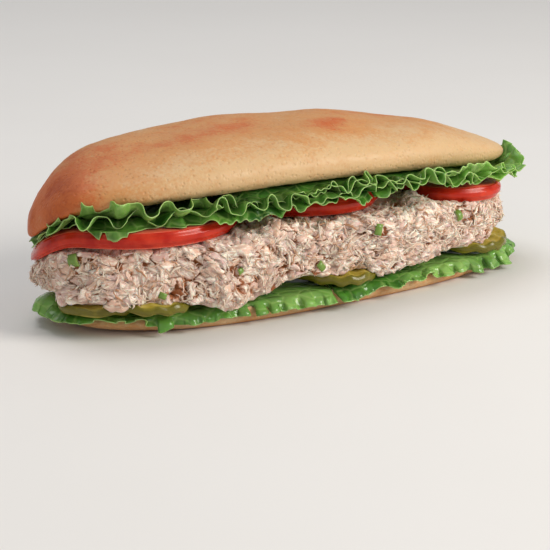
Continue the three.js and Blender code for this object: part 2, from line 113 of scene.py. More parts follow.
def lattice_noise(points: Array, size: float, seed: int) -> Array:
    """Smooth noise from -1 to 1.

    Args:
        points: places, n by 3, in mm.
        size: spacing of the noise lattice in mm.
        seed: which noise it is.

    Returns:
        One value for each place.
    """
    table = np.random.default_rng(seed).uniform(-1, 1, 4096)
    scaled = points / size
    cell = np.floor(scaled).astype(np.int64)
    part = scaled - cell
    part = part * part * (3 - 2 * part)
    total = np.zeros(points.shape[:-1])
    for corner in np.ndindex(2, 2, 2):
        place = cell + np.array(corner)
        key = (place[..., 0] * 73856093) ^ (place[..., 1] * 19349663) ^ (place[..., 2] * 83492791)
        weight = np.prod(np.where(corner, part, 1 - part), axis=-1)
        total += weight * table[key & 4095]
    return total


def layered_noise(points: Array, size: float, seed: int, layers: int = 3) -> Array:
    """Noise with finer noise on it, each layer at half the size and half the height.

    Args:
        points: places, n by 3, in mm.
        size: spacing of the coarsest layer in mm.
        seed: which noise it is.
        layers: how many layers.

    Returns:
        One value for each place, about -1 to 1.
    """
    parts = [lattice_noise(points, size / 2**step, seed + step) / 2**step for step in range(layers)]
    return sum(parts) / 1.4


# The roll's shared forms, as in the part's source


@dataclass(frozen=True)
class Plan:
    """An egg-shaped outline: a superellipse with its own squareness at each end."""

    left: float
    right: float
    half_width: float
    power: tuple[float, float]

    @property
    def middle(self) -> float:
        """The station half way along."""
        return (self.left + self.right) / 2

    @property
    def half(self) -> float:
        """Half the length."""
        return (self.right - self.left) / 2

    def point(self, angle: Array, scale: Array = 1.0) -> tuple[Array, Array]:
        """Gives the place on the outline at an angle.

        Args:
            angle: angle round the middle, in radians.
            scale: how far out, where 1 is the outline.

        Returns:
            X and Y in mm.
        """
        power = np.where(np.cos(angle) < 0, self.power[0], self.power[1])
        x = self.middle + self.half * scale * signed_power(np.cos(angle), 2 / power)
        y = self.half_width * scale * signed_power(np.sin(angle), 2 / power)
        return x, y

    def scale_at(self, x: Array, y: Array) -> Array:
        """Gives the scale of the outline that passes through a place."""
        power = np.where(x < self.middle, self.power[0], self.power[1])
        part = np.abs((x - self.middle) / self.half) ** power + np.abs(y / self.half_width) ** power
        return part ** (1 / power)

    def normal(self, x: Array, y: Array) -> tuple[Array, Array]:
        """Gives the way out of the outline at a place on it."""
        power = np.where(x < self.middle, self.power[0], self.power[1])
        out_x = signed_power((x - self.middle) / self.half, power - 1) / self.half
        out_y = signed_power(y / self.half_width, power - 1) / self.half_width
        length = np.hypot(out_x, out_y)
        return out_x / length, out_y / length

    def angle_at(self, x: float) -> float:
        """Gives the angle at which the back side passes a station."""
        share = float(np.clip((x - self.middle) / self.half, -1, 1))
        power = self.power[0] if share < 0 else self.power[1]
        return float(np.arccos(signed_power(share, power / 2)))

    def even_angles(self, count: int, start: float = 0.0, stop: float = TURN, closed: bool = True) -> Array:
        """Gives angles that are an even distance apart round the outline.

        Args:
            count: how many.
            start: the first angle.
            stop: the angle at which the stretch ends.
            closed: leaves out the last angle, because it is the first again.

        Returns:
            The angles.
        """
        fine = np.linspace(start, stop, 6000)
        x, y = self.point(fine)
        distance = np.concatenate([[0], np.cumsum(np.hypot(np.diff(x), np.diff(y)))])
        return np.interp(np.linspace(0, distance[-1], count, endpoint=not closed), distance, fine)


HEEL_PLAN = Plan(-92, 86, 33, (2.4, 2.8))
CROWN_PLAN = Plan(-99.5, 88.5, 33.5, (2.5, 1.96))
SALAD_PLAN = Plan(-97, 80, 34.5, (2.5, 3.2))
LOWER_PLAN = Plan(-95, 86, 33, (2.4, 3))
UPPER_PLAN = Plan(-95.5, 89, 35.5, (2.5, 3))

# Heights of the bread: the heel's top, and the crown's top and widest line above its cut face
HEEL_TOP = 6.4
CROWN_TOP = 14.3
CROWN_LIP = 4.2

# The lip's drop to the cut face, how much narrower it is there, and the power of its curve
LIP_DROP = 4.4
LIP_INSET = 0.075
LIP_POWER = 2.6

# The line from which the left end sags, and how fast the crown, its tip and the filling sag past it
SAG_ALONG = -0.82
SAG_ACROSS = 0.57
SAG_START = 67
TIP_START = -70
CROWN_SAG = 0.038
TIP_SAG = 0.004
FILLING_SAG = 0.032

# The least gap that soft edges keep from the slices and the bread
LEAF_GAP = 0.4
SALAD_GAP = 0.12

TOMATO_THICK = 5.4
PICKLE_LIE = 1.9


@dataclass(frozen=True)
class Arch:
    """A shallow arch along the roll: its highest point, where that is, and how fast it falls away."""

    top: float
    at: float
    fall: float

    def height(self, x: Array) -> Array:
        """Height of the arch at a station."""
        return self.top - self.fall * (x - self.at) ** 2


CROWN_ARCH = Arch(44.5, -30, 0.00086)
SALAD_ARCH = Arch(29.6, -40, 0.00026)


def past_sag(x: Array, y: Array) -> Array:
    """The square of how far a place lies past the line from which the left end sags."""
    return np.maximum(0, SAG_ALONG * x + SAG_ACROSS * y - SAG_START) ** 2


def crown_droop(x: Array, y: Array) -> Array:
    """How far the crown's left end sags, growing towards its back corner."""
    return CROWN_SAG * past_sag(x, y) + TIP_SAG * np.maximum(0, TIP_START - x) ** 2


def filling_droop(x: Array, y: Array) -> Array:
    """How far the filling's left end sags, a little less than the crown."""
    return FILLING_SAG * past_sag(x, y)


def crown_rim(x: Array, y: Array = 0.0) -> Array:
    """Height of the crown's cut face, which arches over the filling."""
    return CROWN_ARCH.height(x) - crown_droop(x, y)


def salad_top(x: Array, y: Array = 0.0) -> Array:
    """Height of the salad's top, on which the tomato lies."""
    return SALAD_ARCH.height(x) - filling_droop(x, y)


def salad_hem(x: Array, y: Array) -> Array:
    """Height of the salad's lower edge: over the pickles, and further down between them."""
    level, hidden_level = 11.5, 9.2
    falls = ((-92, 8, -1), (-42, 11, 4.3), (-21, 6, -1.6), (13, 7, 3), (28, 9, 2), (80, 5, 2))
    shown = level - sum(fall * hump(x, at, width) for at, width, fall in falls)
    return blend(shown, hidden_level, ease(-6, 6, y) * ease(-94, -82, x))


def crown_underside(x: Array, y: Array) -> Array:
    """Height of the crown's underside, up to its widest line.

    Args:
        x: stations in mm.
        y: places across in mm.

    Returns:
        The height, or a height out of reach outside the crown.
    """
    scale = CROWN_PLAN.scale_at(x, y)
    share = np.clip((1 - scale) / LIP_INSET, 0, 1) ** (1 / LIP_POWER)
    height = crown_rim(x, y) + CROWN_LIP - LIP_DROP * share
    return np.where(scale < 1, height, OUT_OF_REACH)


# Meshes


def grid_faces(rows: int, columns: int, closed: bool = True) -> Array:
    """Gives the four-sided faces of a grid of points, row by row.

    Args:
        rows: number of rows.
        columns: number of points in a row.
        closed: joins the last column to the first.

    Returns:
        The faces, n by 4.
    """
    sides = columns if closed else columns - 1
    row, column = np.meshgrid(np.arange(rows - 1), np.arange(sides), indexing="ij")
    beside = (column + 1) % columns
    corners = [
        row * columns + column,
        row * columns + beside,
        (row + 1) * columns + beside,
        (row + 1) * columns + column,
    ]
    return np.stack(corners, axis=-1).reshape(-1, 4)


def closed_stack(grid: Array, lowest: Array, highest: Array) -> tuple[Array, list[Array]]:
    """Closes rows of outlines, stacked upwards, with a middle point at each end.

    Args:
        grid: outlines, rows by columns by 3.
        lowest: the point that closes the first row.
        highest: the point that closes the last row.

    Returns:
        The points, and the faces as one array for each number of sides.
    """
    rows, columns = grid.shape[:2]
    points = np.concatenate([grid.reshape(-1, 3), [lowest], [highest]])
    side = np.arange(columns)
    beside = (side + 1) % columns
    last = (rows - 1) * columns
    under = np.stack([np.full(columns, rows * columns), beside, side], axis=-1)
    over = np.stack([np.full(columns, rows * columns + 1), last + side, last + beside], axis=-1)
    return points, [grid_faces(rows, columns), under, over]


def face_rows(rows: int, columns: int) -> Array:
    """Gives the row of each face of a closed stack, in the order in which closed_stack makes them.

    Args:
        rows: number of rows.
        columns: number of points in a row.

    Returns:
        The rows. Faces under the first row have 0, and faces over the last have the number of rows.
    """
    side = np.repeat(np.arange(rows - 1), columns)
    return np.concatenate([side, np.zeros(columns), np.full(columns, rows)])


def point_normals(points: Array, faces: list[Array]) -> Array:
    """Gives each point the mean direction of the faces round it.

    Args:
        points: places, n by 3.
        faces: faces, as one array for each number of sides.

    Returns:
        Unit vectors, n by 3.
    """
    total = np.zeros_like(points)
    for part in faces:
        first, second, third = points[part[:, 0]], points[part[:, 1]], points[part[:, -1]]
        across = np.cross(second - first, third - first)
        if part.shape[1] == 4:
            across = np.cross(points[part[:, 2]] - first, third - second)
        for column in range(part.shape[1]):
            np.add.at(total, part[:, column], across)
    return unit(total)


def make_piece(
    name: str,
    points: Array,
    faces: list[Array],
    finishes: list[Material],
    marks: dict[str, Array] | None = None,
    zones: Array | None = None,
) -> Object:
    """Makes a mesh object of millimetre points.

    Args:
        name: the piece's name.
        points: places, n by 3, in mm.
        faces: faces, as one array for each number of sides.
        finishes: its materials.
        marks: named values at each point, for the materials.
        zones: the number of each face's material.

    Returns:
        The object.
    """
    mesh = bpy.data.meshes.new(name)
    corners = np.concatenate([part.ravel() for part in faces]).astype(np.int32)
    sizes = np.concatenate([np.full(len(part), part.shape[1]) for part in faces])
    starts = np.concatenate([[0], np.cumsum(sizes)[:-1]]).astype(np.int32)
    mesh.vertices.add(len(points))
    mesh.vertices.foreach_set("co", (points * MM).astype(np.float32).ravel())
    mesh.loops.add(len(corners))
    mesh.loops.foreach_set("vertex_index", corners)
    mesh.polygons.add(len(sizes))
    mesh.polygons.foreach_set("loop_start", starts)
    mesh.update(calc_edges=True)
    mesh.polygons.foreach_set("use_smooth", np.ones(len(sizes), dtype=bool))
    for key, values in (marks or {}).items():
        wide = values.ndim == 2
        mark = mesh.attributes.new(key, "FLOAT_VECTOR" if wide else "FLOAT", "POINT")
        mark.data.foreach_set("vector" if wide else "value", values.astype(np.float32).ravel())
    for finish in finishes:
        mesh.materials.append(finish)
    if zones is not None:
        mesh.polygons.foreach_set("material_index", zones.astype(np.int32))
    mesh.validate()
    piece = bpy.data.objects.new(name, mesh)
    bpy.context.scene.collection.objects.link(piece)
    return piece


def settle(piece: Object, slot: str, *nodes: str) -> None:
    """Hangs a piece on the roll and hides the CAD nodes that it replaces.

    Args:
        piece: the piece.
        slot: the record's material slot for the piece; not used.
        nodes: the CAD nodes that it replaces.
    """
    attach(piece, ROOT)
    if nodes:
        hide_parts(*nodes)
    LOG.info("%s: %d faces", piece.name, len(piece.data.polygons))


# Finishes


def add_node(
    tree: NodeTree,
    kind: str,
    inputs: dict[str | int, object] | None = None,
    settings: dict[str, object] | None = None,
) -> Node:
    """Adds a node with its settings and inputs.

    Args:
        tree: the node tree.
        kind: the shader node's type.
        inputs: for each input, by name or number, a value or the output that feeds it.
        settings: the node's own settings.

    Returns:
        The node.
    """
    node = tree.nodes.new(f"ShaderNode{kind}")
    for key, value in (settings or {}).items():
        setattr(node, key, value)
    for key, value in (inputs or {}).items():
        if isinstance(value, NodeSocket):
            tree.links.new(value, node.inputs[key])
        else:
            node.inputs[key].default_value = value
    return node


def per_size(size: float) -> float:
    """Gives the texture scale at which a pattern's features are a size in mm."""
    return 1 / (size * MM)


@dataclass(frozen=True)
class Dressing:
    """What a finish gives its shader: a base colour, the coats of colour over it, and the other inputs.

    Each coat is the output that says how much of it shows, and its colour.
    """

    base: int
    coats: list[tuple[NodeSocket, int]]
    inputs: dict[str | int, object]


class Finish:
    """A surface made of nodes. Each kind says how it is dressed."""

    name = "finish"

    def material(self) -> Material:
        """Makes the material, or gives the one already made.

        Returns:
            The material.
        """
        made = bpy.data.materials.get(self.name)
        if made:
            return made
        made = bpy.data.materials.new(self.name)
        made.use_nodes = True
        tree = made.node_tree
        tree.nodes.clear()
        dressing = self.dress(tree)
        colour = linear(dressing.base)
        for share, tone in dressing.coats:
            inputs = {0: share, MIX_FROM: colour, MIX_TO: linear(tone)}
            colour = add_node(tree, "Mix", inputs, {"data_type": "RGBA"}).outputs[MIXED]
        shader = add_node(tree, "BsdfPrincipled", {"Base Color": colour, **dressing.inputs})
        add_node(tree, "OutputMaterial", {"Surface": shader.outputs[0]})
        return made

    def dress(self, tree: NodeTree) -> Dressing:
        """Adds the patterns' nodes, and gives the colours and the shader's inputs.

        Args:
            tree: the material's node tree.

        Returns:
            The dressing.
        """
        raise NotImplementedError


@dataclass(frozen=True)
class BakedCrust(Finish):
    """Wheat crust, baked in an oven: dry and satin, mottled from cream to toasted brown, with fine pores."""

    name: str = "wheat crust, baked"
    pale: int = 0xCEAB7E
    gold: int = 0xC68C54
    toast: int = 0xBE6128
    brown: int = 0xA2420F
    mottle: float = 7.0
    pore: float = 1.1
    roughness: float = 0.5

    def dress(self, tree: NodeTree) -> Dressing:
        """Mixes the baking colours by how toasted the crust is, and adds pores.

        Args:
            tree: the material's node tree.

        Returns:
            The dressing.
        """
        place = add_node(tree, "TexCoord").outputs["Object"]
        level = add_node(tree, "Attribute", settings={"attribute_name": "toast"}).outputs["Fac"]
        mottle, grain = (
            add_node(
                tree,
                "TexNoise",
                {"Vector": place, "Scale": per_size(size), "Detail": detail, "Roughness": roughness},
            ).outputs[0]
            for size, detail, roughness in ((self.mottle, 6.0, 0.62), (self.pore, 3.0, 0.6))
        )
        for pattern, strength in ((mottle, 0.55), (grain, 0.6)):
            level = add_node(tree, "Math", {0: pattern, 1: strength, 2: level}, SCALED_SUM).outputs[0]
        level = add_node(tree, "Math", {0: level, 1: -0.53}, {"operation": "ADD"}).outputs[0]
        coats = []
        for low, high, tone in ((0.0, 0.42, self.gold), (0.4, 0.85, self.toast), (0.85, 1.35, self.brown)):
            share = add_node(
                tree, "MapRange", {"Value": level, "From Min": low, "From Max": high}, SMOOTH_RANGE
            )
            coats.append((share.outputs[0], tone))
        pores = add_node(
            tree, "TexVoronoi", {"Vector": place, "Scale": per_size(self.pore * 1.6)}
        ).outputs["Distance"]
        pits = add_node(tree, "MapRange", {"Value": pores, "From Min": 0.0, "From Max": 0.35})
        height = add_node(tree, "Math", {0: grain, 1: 0.7, 2: pits.outputs[0]}, SCALED_SUM)
        bump = add_node(
            tree, "Bump", {"Strength": 0.7, "Distance": 0.3 * MM, "Height": height.outputs[0]}
        )
        rough = add_node(
            tree,
            "MapRange",
            {
                "Value": mottle,
                "From Min": 0.3,
                "From Max": 0.7,
                "To Min": self.roughness - 0.06,
                "To Max": self.roughness + 0.1,
            },
        )
        inputs = {
            "Normal": bump.outputs[0],
            "Roughness": rough.outputs[0],
            "IOR": 1.45,
            "Subsurface Weight": 0.12,
            "Subsurface Radius": (1.0, 0.6, 0.3),
            "Subsurface Scale": 1.6 * MM,
        }
        return Dressing(self.pale, coats, inputs)


@dataclass(frozen=True)
class CutCrumb(Finish):
    """Bread crumb, cut with a knife: off-white and matt, with open cells darkened by painted shade."""

    name: str = "bread crumb, cut"
    colour: int = 0xF0E2C0
    # The colour of the cells' painted shade
    shade: int = 0xD9BE8C
    cell: float = 2.2

    def dress(self, tree: NodeTree) -> Dressing:
        """Sinks the cells and darkens them with painted shade.

        Args:
            tree: the material's node tree.

        Returns:
            The dressing.
        """
        place = add_node(tree, "TexCoord").outputs["Object"]
        cells = add_node(
            tree, "TexVoronoi", {"Vector": place, "Scale": per_size(self.cell)}
        ).outputs["Distance"]
        # Painted shade: the sunken middle of each cell takes the darker colour
        share = add_node(tree, "MapRange", {"Value": cells, "From Min": 0.1, "From Max": 0.6})
        bump = add_node(tree, "Bump", {"Strength": 0.8, "Distance": 0.6 * MM, "Height": cells})
        inputs = {
            "Normal": bump.outputs[0],
            "Roughness": 0.85,
            "Subsurface Weight": 0.3,
            "Subsurface Scale": 2 * MM,
        }
        return Dressing(self.shade, [(share.outputs[0], self.colour)], inputs)


@dataclass(frozen=True)
class LeafSkin(Finish):
    """Leaf lettuce, washed: waxy and satin, with pale ribs and a pale cut edge, and it lets light through.

    Its patterns are in millimetres of the leaf laid out flat. Its default greens are dark with painted shade.
    """

    name: str = "leaf lettuce, washed"
    # Painted shade: these default greens are darker than the lower leaf's, for the leaves in the crown's
    # shade
    green: int = 0x447A28
    deep: int = 0x214A19
    young: int = 0x86B84A
    rib: int = 0xB4CE7C
    edge: int = 0xC6DC92
    patch: float = 9.0
    bend: float = 5.0
    vein: float = 5.5
    roughness: float = 0.36

    def dress(self, tree: NodeTree) -> Dressing:
        """Mixes leaf greens by patch, rib and edge, and raises the blisters between the veins.

        Args:
            tree: the material's node tree.

        Returns:
            The dressing.
        """
        spread = add_node(tree, "Attribute", settings={"attribute_name": "leaf_place"})
        place = spread.outputs["Vector"]
        edge, under, young = (
            add_node(tree, "Attribute", settings={"attribute_name": mark}).outputs["Fac"]
            for mark in ("edge", "under", "young")
        )
        patch, warp = (
            add_node(tree, "TexNoise", {"Vector": place, "Scale": 1 / size, "Detail": detail})
            for size, detail in ((self.patch, 4.0), (self.bend, 2.0))
        )
        pushed = {0: warp.outputs["Color"], 1: (2.4, 2.4, 0), 2: place}
        bent = add_node(tree, "VectorMath", pushed, SCALED_SUM)
        veins = add_node(
            tree,
            "TexVoronoi",
            {"Vector": bent.outputs[0], "Scale": 1 / self.vein},
            {"feature": "DISTANCE_TO_EDGE", "voronoi_dimensions": "2D"},
        ).outputs["Distance"]
        shade = add_node(
            tree, "MapRange", {"Value": patch.outputs[0], "From Min": 0.35, "From Max": 0.65}
        )
        line = add_node(
            tree,
            "MapRange",
            {"Value": veins, "From Min": 0.0, "From Max": 0.12, "To Min": 0.26, "To Max": 0.0},
        )
        paler = add_node(tree, "Math", {0: under, 1: 0.22}, {"operation": "MULTIPLY"})
        rim = add_node(
            tree,
            "MapRange",
            {"Value": edge, "From Min": 0.98, "From Max": 1.0, "To Max": 0.42},
            SMOOTH_RANGE,
        )
        coats = [
            (shade.outputs[0], self.green),
            (young, self.young),
            (line.outputs[0], self.rib),
            (paler.outputs[0], self.rib),
            (rim.outputs[0], self.edge),
        ]
        blister = add_node(tree, "MapRange", {"Value": veins, "From Min": 0.0, "From Max": 0.3})
        bump = add_node(
            tree, "Bump", {"Strength": 0.6, "Distance": 0.35 * MM, "Height": blister.outputs[0]}
        )
        inputs = {
            "Normal": bump.outputs[0],
            "Roughness": self.roughness,
            "IOR": 1.42,
            "Subsurface Weight": 0.35,
            "Subsurface Radius": (0.5, 1.0, 0.25),
            "Subsurface Scale": 1.2 * MM,
        }
        return Dressing(self.deep, coats, inputs)


@dataclass(frozen=True)
class TomatoSkin(Finish):
    """Tomato skin, ripe and wet: smooth, taut and glossy, with faint paler streaks."""

    name: str = "tomato skin, wet"
    red: int = 0xAC1F10
    orange: int = 0xCA3A20
    streak: float = 5.0

    def dress(self, tree: NodeTree) -> Dressing:
        """Streaks the red with orange.

        Args:
            tree: the material's node tree.

        Returns:
            The dressing.
        """
        place = add_node(tree, "TexCoord").outputs["Object"]
        streaks = add_node(
            tree, "TexNoise", {"Vector": place, "Scale": per_size(self.streak), "Detail": 3.0}
        ).outputs[0]
        share = add_node(tree, "MapRange", {"Value": streaks, "From Min": 0.35, "From Max": 0.7})
        bump = add_node(tree, "Bump", {"Strength": 0.15, "Distance": 0.3 * MM, "Height": streaks})
        inputs = {
            "Normal": bump.outputs[0],
            "Roughness": 0.2,
            "IOR": 1.36,
            "Specular IOR Level": 0.4,
            "Subsurface Weight": 0.25,
            "Subsurface Radius": (1.0, 0.2, 0.1),
            "Subsurface Scale": 2 * MM,
        }
        return Dressing(self.red, [(share.outputs[0], self.orange)], inputs)


@dataclass(frozen=True)
class TomatoFlesh(Finish):
    """Tomato flesh, sliced: wet and juicy, with paler walls between darker seed chambers."""

    name: str = "tomato flesh, sliced"
    wall: int = 0xE0604A
    gel: int = 0xC8361C
    seed: int = 0xE8C77A
    seed_gap: float = 3.4
    grain: float = 0.9

    def dress(self, tree: NodeTree) -> Dressing:
        """Colours the walls and the seed chambers by their marks.

        Args:
            tree: the material's node tree.

        Returns:
            The dressing.
        """
        place = add_node(tree, "TexCoord").outputs["Object"]
        chamber = add_node(tree, "Attribute", settings={"attribute_name": "chamber"}).outputs["Fac"]
        seeds = add_node(
            tree, "TexVoronoi", {"Vector": place, "Scale": per_size(self.seed_gap)}
        ).outputs["Distance"]
        near = add_node(
            tree,
            "MapRange",
            {"Value": seeds, "From Min": 0.24, "From Max": 0.34, "To Min": 0.8, "To Max": 0.0},
        )
        seeded = add_node(tree, "Math", {0: near.outputs[0], 1: chamber}, {"operation": "MULTIPLY"})
        grain = add_node(
            tree, "TexNoise", {"Vector": place, "Scale": per_size(self.grain), "Detail": 3.0}
        )
        bump = add_node(
            tree, "Bump", {"Strength": 0.3, "Distance": 0.3 * MM, "Height": grain.outputs[0]}
        )
        inputs = {
            "Normal": bump.outputs[0],
            "Roughness": 0.24,
            "IOR": 1.38,
            "Subsurface Weight": 0.35,
            "Subsurface Radius": (1.0, 0.25, 0.15),
            "Subsurface Scale": 2 * MM,
        }
        return Dressing(self.wall, [(chamber, self.gel), (seeded.outputs[0], self.seed)], inputs)


@dataclass(frozen=True)
class PickleSkin(Finish):
    """Gherkin, pickled and crinkle-cut: olive and wet, darker at the skin and yellower in the flesh."""

    name: str = "gherkin, pickled"
    skin: int = 0x6A6418
    flesh: int = 0xA2922E
    pale: int = 0xBFAE52
    wart: float = 2.4

    def dress(self, tree: NodeTree) -> Dressing:
        """Mixes skin into flesh by the rim mark, with mottling.

        Args:
            tree: the material's node tree.

        Returns:
            The dressing.
        """
        place = add_node(tree, "TexCoord").outputs["Object"]
        rim = add_node(tree, "Attribute", settings={"attribute_name": "rim"}).outputs["Fac"]
        mottle = add_node(
            tree, "TexNoise", {"Vector": place, "Scale": per_size(self.wart), "Detail": 4.0}
        ).outputs[0]
        patch = add_node(tree, "MapRange", {"Value": mottle, "From Min": 0.35, "From Max": 0.68})
        uneven = add_node(tree, "Math", {0: mottle, 1: 0.7, 2: rim}, SCALED_SUM)
        share = add_node(
            tree, "MapRange", {"Value": uneven.outputs[0], "From Min": 0.75, "From Max": 1.3}
        )
        coats = [(patch.outputs[0], self.pale), (share.outputs[0], self.skin)]
        bump = add_node(tree, "Bump", {"Strength": 0.35, "Distance": 0.4 * MM, "Height": mottle})
        inputs = {
            "Normal": bump.outputs[0],
            "Roughness": 0.24,
            "IOR": 1.4,
            "Subsurface Weight": 0.3,
            "Subsurface Radius": (0.8, 1.0, 0.3),
            "Subsurface Scale": 1.5 * MM,
        }
        return Dressing(self.flesh, coats, inputs)


@dataclass(frozen=True)
class DressedFish(Finish):
    """Cooked fish, flaked and dressed: moist fibres, pink-beige with cream dressing, browner in the crevices
    with brown bits and painted shade.
    """

    name: str = "cooked fish, flaked and dressed"
    beige: int = 0xE2BEA6
    mauve: int = 0xCCAEA6
    cream: int = 0xF8ECDB
    # Brown of the crevices: partly brown bits of fish, partly painted shade
    hollow: int = 0x9C5C32
    fibre: float = 0.75
    patch: float = 5.0

    def dress(self, tree: NodeTree) -> Dressing:
        """Mixes the flesh colours by flake and dressing, browns the crevices with brown bits and painted
        shade, and raises the fibres.

        Args:
            tree: the material's node tree.

        Returns:
            The dressing.
        """
        place = add_node(tree, "TexCoord").outputs["Object"]
        fibres = add_node(tree, "Attribute", settings={"attribute_name": "fibre_place"})
        tone, hollow = (
            add_node(tree, "Attribute", settings={"attribute_name": mark}).outputs["Fac"]
            for mark in ("tone", "hollow")
        )
        strands, patches = (
            add_node(
                tree,
                "TexNoise",
                {"Vector": vector, "Scale": scale, "Detail": detail, "Roughness": 0.6},
            ).outputs[0]
            for vector, scale, detail in (
                (fibres.outputs["Vector"], 1 / self.fibre, 2.0),
                (place, per_size(self.patch), 4.0),
            )
        )
        dressing = add_node(tree, "Math", {0: patches, 1: 0.9, 2: strands}, SCALED_SUM).outputs[0]
        cream = add_node(
            tree, "MapRange", {"Value": dressing, "From Min": 0.88, "From Max": 1.12}, SMOOTH_RANGE
        )
        # Painted shade and brown bits: the crevice mark, less where the fibres stand up, browns the hollows
        deep = add_node(tree, "Math", {0: strands, 1: -0.6, 2: hollow}, SCALED_SUM).outputs[0]
        low = add_node(tree, "MapRange", {"Value": deep, "From Min": 0.1, "From Max": 0.62})
        coats = [(tone, self.beige), (cream.outputs[0], self.cream), (low.outputs[0], self.hollow)]
        bump = add_node(tree, "Bump", {"Strength": 0.8, "Distance": 0.4 * MM, "Height": strands})
        inputs = {
            "Normal": bump.outputs[0],
            "Roughness": 0.42,
            "IOR": 1.4,
            "Subsurface Weight": 0.4,
            "Subsurface Radius": (1.0, 0.5, 0.35),
            "Subsurface Scale": 1.6 * MM,
        }
        return Dressing(self.mauve, coats, inputs)


@dataclass(frozen=True)
class FishShred(Finish):
    """Cooked fish, pulled into shreds: moist threads from cream through pink-beige to brown."""

    name: str = "cooked fish, shredded"
    brown: int = 0xB4835F
    beige: int = 0xDABCA8
    cream: int = 0xEEDFCC

    def dress(self, tree: NodeTree) -> Dressing:
        """Colours each shred by its own tone.

        Args:
            tree: the material's node tree.

        Returns:
            The dressing.
        """
        tone = add_node(tree, "Attribute", settings={"attribute_name": "tone"}).outputs["Fac"]
        coats = []
        for low, high, colour in ((0.0, 0.35, self.beige), (0.4, 1.0, self.cream)):
            share = add_node(tree, "MapRange", {"Value": tone, "From Min": low, "From Max": high})
            coats.append((share.outputs[0], colour))
        inputs = {
            "Roughness": 0.38,
            "IOR": 1.4,
            "Subsurface Weight": 0.25,
            "Subsurface Radius": (1.0, 0.5, 0.35),
            "Subsurface Scale": 1.0 * MM,
        }
        return Dressing(self.brown, coats, inputs)


@dataclass(frozen=True)
class CeleryStalk(Finish):
    """Celery, chopped: crisp, pale green and wet, greener at its ribs."""

    name: str = "celery, chopped"
    green: int = 0x6F8E3A
    pale: int = 0xB9C684

    def dress(self, tree: NodeTree) -> Dressing:
        """Mixes the greens by the rib mark.

        Args:
            tree: the material's node tree.

        Returns:
            The dressing.
        """
        rib = add_node(tree, "Attribute", settings={"attribute_name": "rib"}).outputs["Fac"]
        inputs = {
            "Roughness": 0.3,
            "Subsurface Weight": 0.4,
            "Subsurface Radius": (0.6, 1.0, 0.3),
            "Subsurface Scale": 1.5 * MM,
        }
        return Dressing(self.pale, [(rib, self.green)], inputs)


@dataclass(frozen=True)
class PaintedFloor(Finish):
    """Board, painted matt: pale, even and without gloss."""

    name: str = "board, painted matt"
    colour: int = 0xE4E2DF
    cloud: float = 90.0

    def dress(self, tree: NodeTree) -> Dressing:
        """Paints it with the faintest unevenness.

        Args:
            tree: the material's node tree.

        Returns:
            The dressing.
        """
        place = add_node(tree, "TexCoord").outputs["Object"]
        cloud = add_node(
            tree, "TexNoise", {"Vector": place, "Scale": per_size(self.cloud), "Detail": 2.0}
        )
        share = add_node(
            tree, "MapRange", {"Value": cloud.outputs[0], "To Min": 0.0, "To Max": 0.12}
        )
        return Dressing(self.colour, [(share.outputs[0], 0xFFFFFF)], {"Roughness": 0.7})


# Bread


@dataclass(frozen=True)
class ToastPatch:
    """A place on the crown that the oven browned more."""

    x: float
    y: float
    long: float
    wide: float
    strength: float


